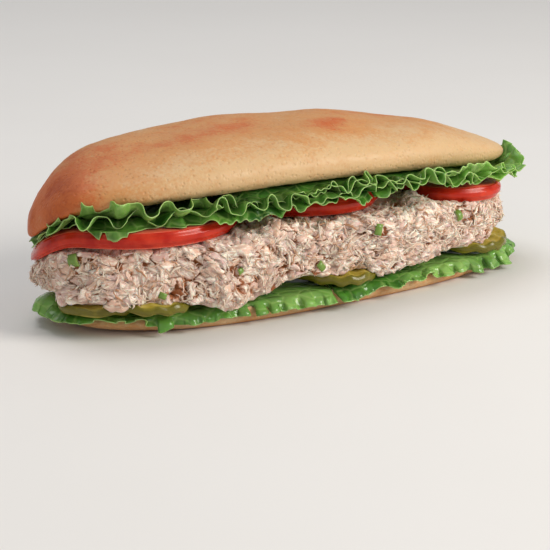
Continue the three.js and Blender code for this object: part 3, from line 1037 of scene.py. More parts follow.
@dataclass(frozen=True)
class Crown:
    """The roll's upper half: a cut face, a rounded lip and a loaf-shaped dome."""

    name: str = "crown_crust_shell"
    columns: int = 420
    lip_rows: int = 16
    dome_rows: int = 102
    crumb_scales: tuple[float, ...] = (0.3, 0.6, 0.8, 0.88)
    crumb_depth: float = 0.25
    patches: tuple[ToastPatch, ...] = (
        ToastPatch(-50, -6, 26, 13, 0.34),
        ToastPatch(-26, -3, 14, 9, 0.3),
        ToastPatch(6, -13, 10, 7, 0.85),
        ToastPatch(-98, -6, 11, 26, 0.7),
        ToastPatch(-80, 12, 18, 16, 0.3),
        ToastPatch(42, 6, 26, 12, 0.4),
        ToastPatch(70, 4, 14, 9, 0.35),
        ToastPatch(-20, 16, 34, 14, 0.32),
    )

    def outlines(self) -> Array:
        """Stacks the lip and dome outlines.

        Returns:
            Places, rows by columns by 3, from the cut face's edge to the top.
        """
        angle = CROWN_PLAN.even_angles(self.columns)
        lip_height = np.linspace(-0.2, CROWN_LIP, self.lip_rows, endpoint=False)
        lip_scale = 1 - LIP_INSET * ((CROWN_LIP - lip_height) / LIP_DROP) ** LIP_POWER
        turn = np.linspace(0, np.pi / 2, self.dome_rows + 1)[:-1]
        dome_scale = np.cos(turn)
        dome_height = CROWN_LIP + (CROWN_TOP - CROWN_LIP) * (1 - dome_scale**2.35) ** (1 / 2.2)
        crumb_height = np.full(len(self.crumb_scales), -self.crumb_depth)
        scale = np.concatenate([self.crumb_scales, lip_scale, dome_scale])[:, None]
        height = np.concatenate([crumb_height, lip_height, dome_height])[:, None]
        x, y = CROWN_PLAN.point(angle[None, :], scale)
        taper = 1 - 0.3 * ease(50, 90, x)
        height = np.minimum(height, CROWN_LIP) + taper * np.maximum(0, height - CROWN_LIP)
        swell = 0.45 * np.sin(x / 13 + 0.7) * np.cos(y / 11) + 0.3 * np.sin(x / 7.3 - y / 9)
        swell *= ease(CROWN_LIP, CROWN_TOP, height)
        stiff = 0.72 * np.minimum(1, height / CROWN_TOP) * crown_droop(x, y)
        return np.stack([x, y, crown_rim(x, y) + height + swell + stiff], axis=-1)

    def toast(self, points: Array) -> Array:
        """How toasted the crust is at each place: more on top, and at the patches.

        Args:
            points: places, n by 3, in mm.

        Returns:
            Values from about 0 to 1.
        """
        x, y = points[:, 0], points[:, 1]
        high = ease(8, 15, points[:, 2] - crown_rim(x, y))
        total = 0.27 * high * (1 - 0.3 * ease(20, 80, x)) + 0.32 * ease(-50, -98, x) - 0.02
        for patch in self.patches:
            near = np.exp(-(((x - patch.x) / patch.long) ** 2) - ((y - patch.y) / patch.wide) ** 2)
            total += patch.strength * near * (0.85 + 0.35 * lattice_noise(points, 7, 5))
        return total + 0.08 * lattice_noise(points, 15, 9) + 0.06 * lattice_noise(points, 4, 15)

    def make(self) -> None:
        """Builds the crown and dresses it."""
        grid = self.outlines()
        rows, columns = grid.shape[:2]
        middle = CROWN_PLAN.middle
        lowest = np.array([middle, 0, crown_rim(middle) - self.crumb_depth])
        highest = np.array([middle, 0, grid[-1, :, 2].mean()])
        points, faces = closed_stack(grid, lowest, highest)
        normals = point_normals(points, faces)
        over = ease(0.6, 2.4, points[:, 2] - crown_rim(points[:, 0], points[:, 1]))
        dimples = 0.2 * layered_noise(points, 10, 21) + 0.07 * layered_noise(points, 2.6, 31)
        rough_end = 0.32 * ease(-66, -92, points[:, 0]) * layered_noise(points, 6, 41)
        points = points + normals * ((dimples + rough_end) * over)[:, None]
        torn = (1 - over) * 0.18 * lattice_noise(points, 1.6, 51)
        points[:, 2] += torn
        zones = (face_rows(rows, columns) < len(self.crumb_scales)).astype(int)
        piece = make_piece(
            self.name,
            points,
            faces,
            [BakedCrust().material(), CutCrumb().material()],
            {"toast": self.toast(points)},
            zones,
        )
        settle(piece, "crown_crust", "crown")


@dataclass(frozen=True)
class Heel:
    """The roll's lower half: a flat base, a rounded side and a cut face."""

    name: str = "heel_crust_shell"
    columns: int = 420
    rows: int = 60
    widest_row: int = 32
    last_crust_row: int = 46
    scales: tuple[float, ...] = (
        *(0.4, 0.7, 0.9, 0.925, 0.945, 0.966, 0.982, 0.994),
        *(1, 0.998, 0.992, 0.984, 0.97, 0.955, 0.8, 0.6),
    )
    heights: tuple[float, ...] = (0, 0, 0, 0.2, 0.55, 1.1, 1.8, 2.7, 3.6, 4.5, 5.2, 5.8, 6.3, 6.4, 6.5, 6.6)

    def make(self) -> None:
        """Builds the heel and dresses it."""
        angle = HEEL_PLAN.even_angles(self.columns)
        knots = np.arange(len(self.scales))
        steps = np.linspace(0, len(self.scales) - 1, self.rows)
        scale = np.interp(steps, knots, self.scales)[:, None]
        height = np.interp(steps, knots, self.heights)[:, None]
        x, y = HEEL_PLAN.point(angle[None, :], scale)
        lower = (np.arange(self.rows) < self.widest_row)[:, None]
        drawn_in = np.interp(height, [0, 0.6, 1.7, 3.6], [8, 5, 2, 0]) * lower
        x = x + drawn_in * ease(-40, -92, x)
        grid = np.stack([x, y, np.broadcast_to(height, x.shape)], axis=-1)
        middle = HEEL_PLAN.middle
        points, faces = closed_stack(grid, np.array([middle, 0, 0]), np.array([middle, 0, 6.7]))
        normals = point_normals(points, faces)
        side = ease(0.3, 1.2, points[:, 2])
        rough = 0.16 * layered_noise(points, 7, 61) + 0.07 * layered_noise(points, 2.2, 71)
        points = points + normals * (rough * side)[:, None]
        zones = (face_rows(self.rows, self.columns) > self.last_crust_row).astype(int)
        toast = 0.16 + 0.16 * layered_noise(points, 12, 81) + 0.3 * ease(1.6, 0.0, points[:, 2])
        crust = BakedCrust(name="wheat crust, baked on a tray", roughness=0.6)
        piece = make_piece(
            self.name,
            points,
            faces,
            [crust.material(), CutCrumb().material()],
            {"toast": toast},
            zones,
        )
        settle(piece, "heel_crust", "heel")


# Slices


@dataclass(frozen=True)
class Slice:
    """A round slice: where it lies, how it leans, and its outline."""

    node: str
    x: float
    y: float
    radius: float
    lift: float
    slope_x: float = 0.0
    slope_y: float = 0.0
    turn: float = 0.0
    thick: float = 3.0

    def under(self, x: Array, y: Array) -> Array:
        """Height of the slice's underside at a place."""
        raise NotImplementedError

    def over(self, x: Array, y: Array) -> Array:
        """Height of the slice's top at a place."""
        return self.under(x, y) + self.thick

    def lean(self, x: Array, y: Array) -> Array:
        """How far the slice's lean lifts a place."""
        return self.slope_x * (x - self.x) + self.slope_y * (y - self.y)

    def reach(self, angle: Array) -> Array:
        """Gives the slice's uneven radius at an angle."""
        return self.radius * (1 + 0.018 * np.sin(3 * angle + self.x) + 0.012 * np.sin(5 * angle + self.y))

    def share(self, x: Array, y: Array) -> Array:
        """Gives how far out a place is, where 1 is the slice's rim."""
        return np.hypot(x - self.x, y - self.y) / self.reach(np.arctan2(y - self.y, x - self.x))

    def disc(self, profile: Profile, columns: int) -> tuple[Array, list[Array], Array]:
        """Turns a profile round the slice's middle.

        Args:
            profile: for each row, millimetres in from the rim and the height.
            columns: points round the slice.

        Returns:
            Flat-lying points with their height, the faces, and each point's share of the radius.
        """
        angle = np.linspace(0, TURN, columns, endpoint=False)
        rim = self.reach(angle)
        rows = []
        for inset, height in profile:
            reach = rim - inset if inset < self.radius * 0.5 else rim * (1 - inset / self.radius)
            place = [reach * np.cos(angle), reach * np.sin(angle), np.full(columns, height)]
            rows.append(np.stack(place, axis=-1))
        grid = np.stack(rows)
        points, faces = closed_stack(grid, np.array([0, 0, profile[0][1]]), np.array([0, 0, profile[-1][1]]))
        return points, faces, np.hypot(points[:, 0], points[:, 1]) / self.radius


def rounded_profile(radius: float, thick: float, corner: float, bulge: float, rings: int) -> Profile:
    """Makes a slice's profile from its middle underneath, out round the rim, and back over it.

    Args:
        radius: the slice's radius.
        thick: its thickness.
        corner: radius of the rim's soft corners.
        bulge: how far the middle of the rim stands out.
        rings: rows on each flat face.

    Returns:
        Insets from the rim and heights.
    """
    turn = np.linspace(0, np.pi / 2, 5)
    flat = [radius * (1 - step / rings) + (corner + bulge) * step / rings for step in range(1, rings)]
    lower = [(bulge + corner * (1 - np.sin(a)), corner * (1 - np.cos(a))) for a in turn]
    height = np.linspace(corner, thick - corner, 7)[1:-1]
    side = [(bulge * ((2 * h / thick - 1) ** 2), h) for h in height]
    upper = [(inset, thick - h) for inset, h in lower[::-1]]
    return [(inset, 0.0) for inset in flat] + lower + side + upper + [(inset, thick) for inset in flat[::-1]]


@dataclass(frozen=True)
class Tomato(Slice):
    """A tomato slice, with taut skin round a wet cut face."""

    thick: float = TOMATO_THICK

    def under(self, x: Array, y: Array) -> Array:
        """Height of the slice's underside at a place."""
        return salad_top(self.x) + self.lift + self.lean(x, y) - filling_droop(x, y)

    def make(self) -> None:
        """Builds the slice and dresses it."""
        profile = rounded_profile(self.radius, self.thick, 1.3, 0.8, 14)
        flat, faces, share = self.disc(profile, 200)
        x, y = flat[:, 0] + self.x, flat[:, 1] + self.y
        height = flat[:, 2]
        points = np.stack([x, y, self.under(x, y) + height], axis=-1)
        face_up = (np.abs(height - self.thick / 2) > self.thick / 2 - 0.2) & (share < 0.95)
        wet = 0.12 * layered_noise(points, 5, 91) * face_up
        points[:, 2] += wet - 0.14 * face_up
        points += 0.1 * lattice_noise(points, 13, 95)[:, None] * np.array([0, 0, 1])
        angle = np.arctan2(flat[:, 1], flat[:, 0])
        lobes = 0.5 + 0.5 * np.cos(5 * angle + self.x)
        ring = ease(0.18, 0.3, share) * (1 - ease(0.74, 0.84, share))
        chamber = ring * ease(0.25, 0.55, lobes)
        mean_share = np.concatenate([share[part].mean(axis=1) for part in faces])
        mean_height = np.concatenate([height[part].mean(axis=1) for part in faces])
        is_face = (np.abs(mean_height - self.thick / 2) > self.thick / 2 - 0.35) & (mean_share < 0.975)
        piece = make_piece(
            f"{self.node}_slice",
            points,
            faces,
            [TomatoSkin().material(), TomatoFlesh().material()],
            {"chamber": chamber},
            is_face.astype(int),
        )
        settle(piece, "tomato", self.node)


@dataclass(frozen=True)
class Pickle(Slice):
    """A crinkle-cut pickle chip."""

    depth: float = 0.4
    pitch: float = 6.2
    rests_on: "Pickle | None" = None

    def crinkle(self, x: Array, y: Array) -> Array:
        """Height of the crinkle at a place."""
        across = x * np.cos(self.turn) + y * np.sin(self.turn)
        return self.depth * np.sin(TURN * across / self.pitch)

    def under(self, x: Array, y: Array) -> Array:
        """Height of the chip's underside at a place, bent over the chip that it rests on.

        Args:
            x: stations in mm.
            y: places across in mm.

        Returns:
            The height.
        """
        height = HEEL_TOP + PICKLE_LIE + self.lift + self.lean(x, y) + self.crinkle(x, y)
        if self.rests_on is None:
            return height
        near = 1 - ease(0.95, 1.1, self.rests_on.share(x, y))
        return height + near * np.maximum(0, self.rests_on.over(x, y) + 0.15 - height)

    def make(self) -> None:
        """Builds the chip and dresses it."""
        profile = rounded_profile(self.radius, self.thick, 0.7, 0.25, 10)
        flat, faces, share = self.disc(profile, 150)
        x, y = flat[:, 0] + self.x, flat[:, 1] + self.y
        points = np.stack([x, y, self.under(x, y) + flat[:, 2]], axis=-1)
        points[:, 2] += 0.12 * lattice_noise(points, 3.5, 101)
        normals = point_normals(points, faces)
        points += normals * (0.1 * layered_noise(points, 2.2, 105))[:, None]
        rim = ease(0.88, 0.985, share)
        piece = make_piece(f"{self.node}_chip", points, faces, [PickleSkin().material()], {"rim": rim})
        settle(piece, "pickle", self.node)


TOMATOES = (
    Tomato("tomato_left", -64.2, -0.5, 33.2, 0.3, 0, -0.03),
    Tomato("tomato_middle", -1.6, -3.5, 27.8, 1.0, -0.01, -0.03),
    Tomato("tomato_right", 55, -12, 20, 0.2, -0.03, 0.01),
)
PICKLE_AT_END = Pickle("pickle_left_end", -82.5, -9, 13.8, 0.05, turn=0.5)
PICKLES = (
    PICKLE_AT_END,
    Pickle("pickle_left", -70, -17, 15.4, 2.6, slope_y=0.16, turn=0.2, rests_on=PICKLE_AT_END),
    Pickle("pickle_middle", 0.5, -21.5, 15.8, 1.3, slope_y=0.09, turn=-0.3),
    Pickle("pickle_right", 61.5, -16, 15.2, 1.25, slope_y=0.08, turn=0.15),
    Pickle("pickle_back_left", -45, 16, 15, 0.05, turn=0.7),
    Pickle("pickle_back_middle", -6, 16.5, 15.4, 0.05, turn=0.1),
    Pickle("pickle_back_right", 35, 15.5, 15.2, 0.05, turn=-0.6),
)


def lowered(slices: tuple[Slice, ...], x: Array, y: Array, z: Array, gap: float, reach: float = 1.0) -> Array:
    """Keeps heights below slices.

    Args:
        slices: the slices.
        x: stations in mm.
        y: places across in mm.
        z: heights in mm.
        gap: the least gap to a slice.
        reach: how far out a slice counts, where 1 is its rim.

    Returns:
        The heights, lowered where they would meet a slice.
    """
    for part in slices:
        z = np.where(part.share(x, y) < reach, np.minimum(z, part.under(x, y) - gap), z)
    return z


def lifted(slices: tuple[Slice, ...], x: Array, y: Array, z: Array, gap: float) -> Array:
    """Keeps heights above slices, as lowered keeps them below."""
    for part in slices:
        z = np.where(part.share(x, y) < 1.0, np.maximum(z, part.over(x, y) + gap), z)
    return z


# Lettuce

# Millimetres from the inside to the edge of a leaf laid out flat, and how far apart two leaves' layers are
FLAT_LEAF = 14
LAYER_GAP = 3.0


@dataclass(frozen=True)
class Rim:
    """Places round a leaf's edge, the way out at each, whether it is a free edge, and the distance along."""

    x: Array
    y: Array
    out_x: Array
    out_y: Array
    edge: Array
    distance: Array


def leaf_rim(plan: Plan, start: float, stop: float, along: int, across: int) -> Rim:
    """Follows a leaf's edge round the plan between two stations.

    Args:
        plan: the outline that the leaf follows.
        start: its left station.
        stop: its right station.
        along: points along each long side.
        across: points along each cut end.

    Returns:
        The rim.
    """
    first, second = plan.angle_at(start), plan.angle_at(stop)
    front_angle = plan.even_angles(along, -first, -second, closed=False)
    back_angle = plan.even_angles(along, second, first, closed=False)
    parts = []
    for angle, cut_x, cut_out in ((front_angle, stop, 1.0), (back_angle, start, -1.0)):
        x, y = plan.point(angle)
        out_x, out_y = plan.normal(x, y)
        parts.append(np.stack([x, y, out_x, out_y, np.ones_like(x)], axis=-1))
        reach = abs(y[-1])
        if reach > 0.01:
            cut_y = np.linspace(y[-1], -y[-1], across + 1)[1:-1]
            same = np.ones_like(cut_y)
            parts.append(np.stack([cut_x * same, cut_y, cut_out * same, 0 * same, 0 * same], axis=-1))
    rows = np.concatenate(parts)
    apart = np.hypot(*(rows[:, :2] - np.roll(rows[:, :2], -1, axis=0)).T)
    rows = rows[apart > 0.01]
    steps = np.hypot(*(rows[1:, :2] - rows[:-1, :2]).T)
    distance = np.concatenate([[0], np.cumsum(steps)])
    return Rim(rows[:, 0], rows[:, 1], rows[:, 2], rows[:, 3], rows[:, 4], distance)


def line_noise(distance: Array, size: float, seed: int) -> Array:
    """Smooth noise along a rim, from -1 to 1."""
    places = np.stack([distance, np.full_like(distance, seed * 7.3), np.zeros_like(distance)], axis=-1)
    return lattice_noise(places, size, seed)


def leaf_place(distance: Array, share: Array, layer: float) -> Array:
    """Lays a leaf out flat, for noise that stays with the leaf.

    Args:
        distance: millimetres along the rim, one for each side.
        share: how far out each ring is.
        layer: a height that sets one leaf's noise apart from another's.

    Returns:
        Places in mm, rings by sides by 3.
    """
    size = (len(share), len(distance))
    along = np.broadcast_to(distance[None, :], size)
    across = np.broadcast_to(FLAT_LEAF * share[:, None], size)
    return np.stack([along, across, np.full(size, layer)], axis=-1)


@dataclass
class LeafSheet:
    """Thin sheets of leaf that become one mesh: points, faces and marks for the leaf's finish."""

    thick: float = 0.5

    def __post_init__(self) -> None:
        """Starts with no sheets."""
        self.points: list[Array] = []
        self.faces: list[list[Array]] = []
        self.marks: dict[str, list[Array]] = {"edge": [], "under": [], "young": [], "leaf_place": []}
        self.count = 0

    def add(self, grid: Array, middle: Array, share: Array, rim: Rim, young: Array) -> None:
        """Adds a sheet from rings about a middle, with both faces and a closed edge.

        Args:
            grid: the middle surface, rings by sides by 3, from the inside out.
            middle: the point inside the first ring.
            share: how far out each ring is, 1 at the edge.
            rim: the rim that the rings follow.
            young: how yellow the leaf is at each point of the grid.
        """
        rings, sides = grid.shape[:2]
        points = np.concatenate([grid.reshape(-1, 3), [middle]])
        side = np.arange(sides)
        beside = (side + 1) % sides
        fan = np.stack([np.full(sides, rings * sides), side, beside], axis=-1)
        quads = grid_faces(rings, sides)[:, [0, 3, 2, 1]]
        normals = point_normals(points, [quads, fan])
        thin = self.thick * np.append(np.repeat(1 - 0.45 * share**3, sides), 1.0)
        top = points + normals * (thin / 2)[:, None]
        bottom = points - normals * (thin / 2)[:, None]
        count = len(points)
        last = (rings - 1) * sides
        strip = np.stack([last + side, last + count + side, last + count + beside, last + beside], axis=-1)
        under = [quads[:, ::-1] + count, fan[:, ::-1] + count]
        quad_faces = np.concatenate([quads, under[0], strip])
        fan_faces = np.concatenate([fan, under[1]])
        self.points.append(np.concatenate([top, bottom]))
        self.faces.append([quad_faces + self.count, fan_faces + self.count])
        self.count += 2 * count
        edge = np.append((share[:, None] * rim.edge[None, :]).ravel(), 0.0)
        place = leaf_place(rim.distance, share, float(self.count)).reshape(-1, 3)
        place = np.concatenate([place, [[0, 0, 0]]])
        self.marks["edge"] += [edge, edge]
        self.marks["under"] += [np.zeros(count), np.ones(count)]
        self.marks["young"] += [np.append(young.ravel(), 0.0)] * 2
        self.marks["leaf_place"] += [place, place]

    def piece(self, name: str, finish: Material) -> Object:
        """Makes one object of all the sheets.

        Args:
            name: the piece's name.
            finish: its material.

        Returns:
            The object.
        """
        quads = np.concatenate([part[0] for part in self.faces])
        fans = np.concatenate([part[1] for part in self.faces])
        marks = {key: np.concatenate(values) for key, values in self.marks.items()}
        return make_piece(name, np.concatenate(self.points), [quads, fans], [finish], marks)


@dataclass(frozen=True)
class Fold:
    """A change in a leaf's front edge: where it is, and what it adds to the blade there."""

    x: float
    width: float
    lean: float = 0.0
    longer: float = 0.0
    rise: float = 0.0
    out: float = 0.0


@dataclass(frozen=True)
class Blade:
    """One sheet of a leaf: how its free strip leaves the bread.

    The strip leans and curls by degrees above level, sways along the rim, and ruffles at a pace in mm. It
    starts back from the rim, rises, and ends in points.
    """

    lean: float
    sway: float
    length: float
    ruffle: float
    rise: float
    back: float
    curl: float = 0.0
    pace: float = 10.0
    points: float = 1.2
    folds: tuple[Fold, ...] = ()

    def folded(self, rim: Rim, key: str) -> Array:
        """Adds up what the folds change along the front edge."""
        front = rim.y < 0
        parts = [getattr(fold, key) * hump(rim.x, fold.x, fold.width) * front for fold in self.folds]
        return sum(parts, np.zeros_like(rim.x))


@dataclass(frozen=True)
class UpperLeaf:
    """A leaf under the crown, in overlapping blades whose edges ruffle past the bread."""

    node: str
    start: float
    stop: float
    level: float
    seed: int
    blades: tuple[Blade, ...]
    # Little young yellow, as part of the upper leaves' painted shade
    young: float = 0.05
    rings: int = 18
    flat: float = 6.0
    over_tomato: float = 1.9
    under_crown: float = 0.9

    def levels(self, x: Array, y: Array) -> Array:
        """Height of the leaf's lie, between the tomato and the crown."""
        lowest = salad_top(x, y) + TOMATO_THICK + self.over_tomato
        return blend(lowest, crown_rim(x, y) - self.under_crown, self.level)

    def add_blade(self, bundle: LeafSheet, rim: Rim, blade: Blade, seed: int) -> None:
        """Adds one ruffled blade.

        Args:
            bundle: what it is added to.
            rim: the leaf's rim.
            blade: how it leaves the bread.
            seed: which ruffles it has.
        """
        distance = rim.distance
        pace = np.maximum(7.5, blade.pace * (1 + 0.6 * line_noise(distance, 13, seed)))
        turn = np.cumsum(np.gradient(distance) / pace) * TURN + seed
        quick = np.cumsum(np.gradient(distance) / (4.4 + 1.5 * line_noise(distance, 11, seed + 3))) * TURN
        tall = blade.ruffle * np.maximum(0.1, 1 + 1.0 * line_noise(distance, 12, seed + 5))
        small = 0.4 + 0.35 * line_noise(distance, 8, seed + 7)
        teeth = 0.8 * line_noise(distance, 4.6, seed + 9) + 0.45 * line_noise(distance, 1.9, seed + 11)
        point = 1 - np.abs(np.sin(0.47 * turn + 0.8 * line_noise(distance, 23, seed + 10)))
        uneven = 1 + 0.8 * line_noise(distance, 14, seed + 12)
        teeth = teeth + blade.points * uneven * (2 * point**1.4 - 0.7)
        wander = line_noise(distance, 19, seed + 13) + 0.7 * line_noise(distance, 9, seed + 15)
        lean = blade.lean + blade.sway * wander + blade.folded(rim, "lean")
        length = blade.length * (1 + 0.22 * line_noise(distance, 15, seed + 17)) + blade.folded(rim, "longer")
        end = ease(-95.5, -84, rim.x)
        shorter = blend(0.8, 1, end) * (1 - 0.3 * ease(76, 88, rim.x))
        length = np.maximum(length * shorter + teeth, 1.5)
        curl = blade.curl * line_noise(distance, 13, seed + 19)
        part = np.linspace(0, 1, self.rings)[:, None]
        path = np.diff(part, axis=0, prepend=0) * (self.flat + length)
        bend = np.radians(lean * ease(0.3, 0.75, part) + curl * part**3)
        drawn = -self.flat - blade.back + blade.folded(rim, "out") * part
        out = drawn + np.cumsum(np.cos(bend) * path, axis=0)
        raised = (blade.rise + blade.folded(rim, "rise")) * ease(0, 0.5, part)
        lift = np.cumsum(np.sin(bend) * path, axis=0) + raised
        grown = ease(0.1, 1.0, part)
        swing = tall * grown * np.sin(turn + 0.9 * (1 - part)) + small * part**3 * np.sin(quick)
        slide = -0.2 * tall * grown * np.sin(2 * turn) - 0.25 * small * part**3 * np.sin(2 * quick)
        out = rim.edge * (out - swing * np.sin(bend)) - (1 - rim.edge) * blade.back
        x = rim.x + out * rim.out_x - rim.edge * slide * rim.out_y
        y = rim.y + out * rim.out_y + rim.edge * slide * rim.out_x
        z = self.levels(x, y) + rim.edge * (lift + swing * np.cos(bend))
        z = z + rim.edge * 2.5 * grown * ease(76, 89, x) * np.where(y < 0, 1.0, 0.3)
        grid, share = self.with_middle(np.stack([x, y, z], axis=-1), part[:, 0])
        place = leaf_place(distance, share, seed * LAYER_GAP)
        blister = 0.3 * lattice_noise(place, 3.2, seed + 21) * share[:, None]
        grid[..., 2] += 0.7 * blister
        grid[..., 0] += 0.7 * blister * rim.out_x[None, :]
        grid[..., 1] += 0.7 * blister * rim.out_y[None, :]
        x, y = grid[..., 0], grid[..., 1]
        z = lifted(TOMATOES, x, y, grid[..., 2], LEAF_GAP)
        grid[..., 2] = np.minimum(z, crown_underside(x, y) - LEAF_GAP)
        young = self.young + 0.3 * lattice_noise(place, 15, seed + 23) + 0.35 * hump(x, 64, 14)
        middle_x = (self.start + self.stop) / 2
        middle = np.array([middle_x, 0, self.levels(middle_x, 0.0)])
        bundle.add(grid, middle, share, rim, np.clip(young + 0.15 * share[:, None] ** 2, 0, 1))

    def with_middle(self, grid: Array, share: Array) -> tuple[Array, Array]:
        """Adds two flat rings inside the others.

        Args:
            grid: the rings.
            share: how far out each ring is.

        Returns:
            The rings and shares, with the two inner ones first.
        """
        middle_x = (self.start + self.stop) / 2
        inner = []
        for scale in (0.25, 0.55):
            x = blend(middle_x, grid[0, :, 0], scale)
            y = grid[0, :, 1] * scale
            inner.append(np.stack([x, y, self.levels(x, y)], axis=-1))
        return np.concatenate([np.stack(inner), grid]), np.concatenate([[0, 0], share])

    def make(self) -> None:
        """Builds the leaf and dresses it."""
        along = int((self.stop - self.start) * 2.2)
        rim = leaf_rim(UPPER_PLAN, self.start, self.stop, along, 14)
        bundle = LeafSheet(0.45)
        for number, blade in enumerate(self.blades):
            self.add_blade(bundle, rim, blade, self.seed + 31 * number)
        settle(bundle.piece(f"{self.node}_leaf", LeafSkin().material()), "lettuce", self.node)


@dataclass(frozen=True)
class LowerLeaf:
    """A leaf on the heel: flat under the filling, turned over the heel's edge, and ending in scallops."""

    node: str
    start: float
    stop: float
    seed: int
    flat: float = 4.4
    corner: float = 2.3
    lie: float = 0.7
    edge_line: tuple[tuple[float, float], ...] = (
        *((-95, 6.4), (-92, 5.4), (-89, 6.8), (-85, 7.2), (-77, 7.0), (-74, 5.6), (-70, 2.6)),
        *((-66, 4.6), (-60, 4.0), (-56, 4.6), (-52, 4.0), (-46, 5.4), (-42, 3.6), (-36, 4.4)),
        *((-24, 3.7), (0, 3.5), (8, 4.6), (16, 5.8), (24, 5.0), (32, 6.2), (38, 5.0)),
        *((48, 4.2), (56, 2.6), (66, 3.2), (72, 2.4), (78, 5.0), (86, 3.4)),
    )
    shelves: tuple[tuple[float, float, float], ...] = ((-10, 22, 34), (-58, 7, 22), (20, 9, 24), (66, 14, 26))
    bread_edge: tuple[tuple[float, float], ...] = (
        *((0.955, 6.4), (0.97, 6.3), (0.984, 5.8)),
        *((0.992, 5.2), (1.0, 3.6), (1.003, -10.0)),
    )
    rings: int = 26

    def edge_height(self, rim: Rim) -> Array:
        """Gives the height at which the leaf's edge hangs, place by place.

        Args:
            rim: the leaf's rim.

        Returns:
            The heights in mm.
        """
        stations, heights = zip(*self.edge_line)
        front = np.interp(rim.x, stations, heights)
        behind = 4.4 + 1.6 * line_noise(rim.distance, 13, self.seed + 8)
        return np.where(rim.y < 0, front, blend(behind, 5.2, ease(-84, -93, rim.x)))

    def make(self) -> None:
        """Builds the leaf and dresses it."""
        along = int((self.stop - self.start) * 2.4)
        rim = leaf_rim(LOWER_PLAN, self.start, self.stop, along, 14)
        distance = rim.distance
        seed = self.seed
        turn = np.cumsum(np.gradient(distance) / (7.5 + 4.5 * line_noise(distance, 13, seed))) * TURN
        quick = np.cumsum(np.gradient(distance) / (3.9 + 2.0 * line_noise(distance, 9, seed + 1))) * TURN
        teeth = 0.75 * line_noise(distance, 3.1, seed + 2) + 0.35 * line_noise(distance, 1.5, seed + 3)
        left_end = ease(-86, -95, rim.x)
        calm = 1 - 0.6 * hump(rim.x, -86, 10)
        lying = HEEL_TOP + self.lie + left_end * (0.5 + 2.8 * ease(-6, 6, rim.y)) + 0.3 * hump(rim.x, -83, 7)
        fall = lying - self.edge_height(rim)
        shelf = sum(wide * hump(rim.x, at, width) for at, width, wide in self.shelves) * (rim.y < 0)
        lean = blend(10, 76, ease(0.2, 2.8, fall)) - shelf + 12 * line_noise(distance, 12, seed + 6)
        lean = np.clip(lean, 8, 84)
        steep = np.radians(lean)
        at_corner = self.corner * (np.cos(np.radians(5)) - np.cos(steep)) / (steep - np.radians(5) + 1e-6)
        hanging = np.clip((fall - at_corner) / np.sin(steep), 1.8, 7.5) + teeth
        path_length = self.flat + self.corner + np.maximum(hanging, 1.0)
        share = np.linspace(0, 1, self.rings)
        part = share[:, None]
        path = np.diff(part, axis=0, prepend=0) * path_length
        walked = np.cumsum(path, axis=0)
        turned = np.clip((walked - self.flat) / self.corner, 0, 1)
        bend = np.radians(blend(5, lean, turned))
        out = -self.flat - 1.6 + np.cumsum(np.cos(bend) * path, axis=0)
        fallen = np.cumsum(np.sin(bend) * path, axis=0)
        loose = ease(0, 4.0, walked - self.flat)
        tall = np.maximum(0.5, 1.0 + 1.2 * line_noise(distance, 10, seed + 7)) * calm
        swing = loose * tall * np.sin(turn) + 0.35 * loose**2 * np.sin(quick)
        slide = -0.7 * loose * tall * np.sin(2 * turn) - 0.25 * loose**2 * np.sin(2 * quick)
        out = rim.edge * (out + (swing + 0.7 * loose) * np.sin(bend) + 0.9 * left_end * loose)
        x = rim.x + out * rim.out_x - rim.edge * slide * rim.out_y
        y = rim.y + out * rim.out_y + rim.edge * slide * rim.out_x
        z = lying - rim.edge * (fallen - 0.6 * swing * np.cos(bend))
        rows = np.stack([x, y, np.maximum(z, 0.5)], axis=-1)
        middle_x = (self.start + self.stop) / 2
        middle_z = HEEL_TOP + 0.75
        inner = []
        for scale in (0.3, 0.65):
            inner_x = blend(middle_x, rows[0, :, 0], scale)
            inner_z = np.full_like(inner_x, middle_z)
            inner.append(np.stack([inner_x, rows[0, :, 1] * scale, inner_z], axis=-1))
        grid = np.concatenate([np.stack(inner), rows])
        share = np.concatenate([[0, 0], share])
        place = leaf_place(distance, share, seed * LAYER_GAP)
        loose = np.concatenate([np.zeros((2, len(distance))), loose])
        blister = 0.65 * layered_noise(place, 3.6, seed + 4, 2) * loose
        grid[..., 0] += blister * rim.out_x[None, :]
        grid[..., 1] += blister * rim.out_y[None, :]
        grid[..., 2] += 0.5 * blister
        scale = HEEL_PLAN.scale_at(grid[..., 0], grid[..., 1])
        bread_scales, bread_heights = zip(*self.bread_edge)
        bread_top = np.interp(scale, bread_scales, bread_heights)
        height = lowered(PICKLES, grid[..., 0], grid[..., 1], grid[..., 2], LEAF_GAP)
        grid[..., 2] = np.maximum(height, bread_top + LEAF_GAP)
        # Random young patches; with the lower leaf's pale young colour they are partly painted highlight
        young = np.clip(0.35 + 0.5 * lattice_noise(place, 11, seed + 5), 0, 1)
        bundle = LeafSheet(0.55)
        bundle.add(grid, np.array([middle_x, 0, middle_z]), share, rim, young)
        # A lighter copy of the leaf finish, against the upper leaves' painted shade; its pale young colour is
        # partly painted highlight
        finish = LeafSkin(
            name="leaf lettuce, wet", green=0x4F8C2C, deep=0x275C1B, young=0x93BD66, roughness=0.16
        )
        settle(bundle.piece(f"{self.node}_leaf", finish.material()), "lettuce", self.node)


# Fish salad


@dataclass(frozen=True)
class Lump:
    """A bulge of the salad's side."""

    x: float
    y: float
    width: float
    out: float


@dataclass(frozen=True)
class Celery:
    """A chopped piece of celery in the salad's side: its station, height, size and turn."""

    x: float
    z: float
    radius: float
    length: float
    turn: float
    curl: float = 2.0


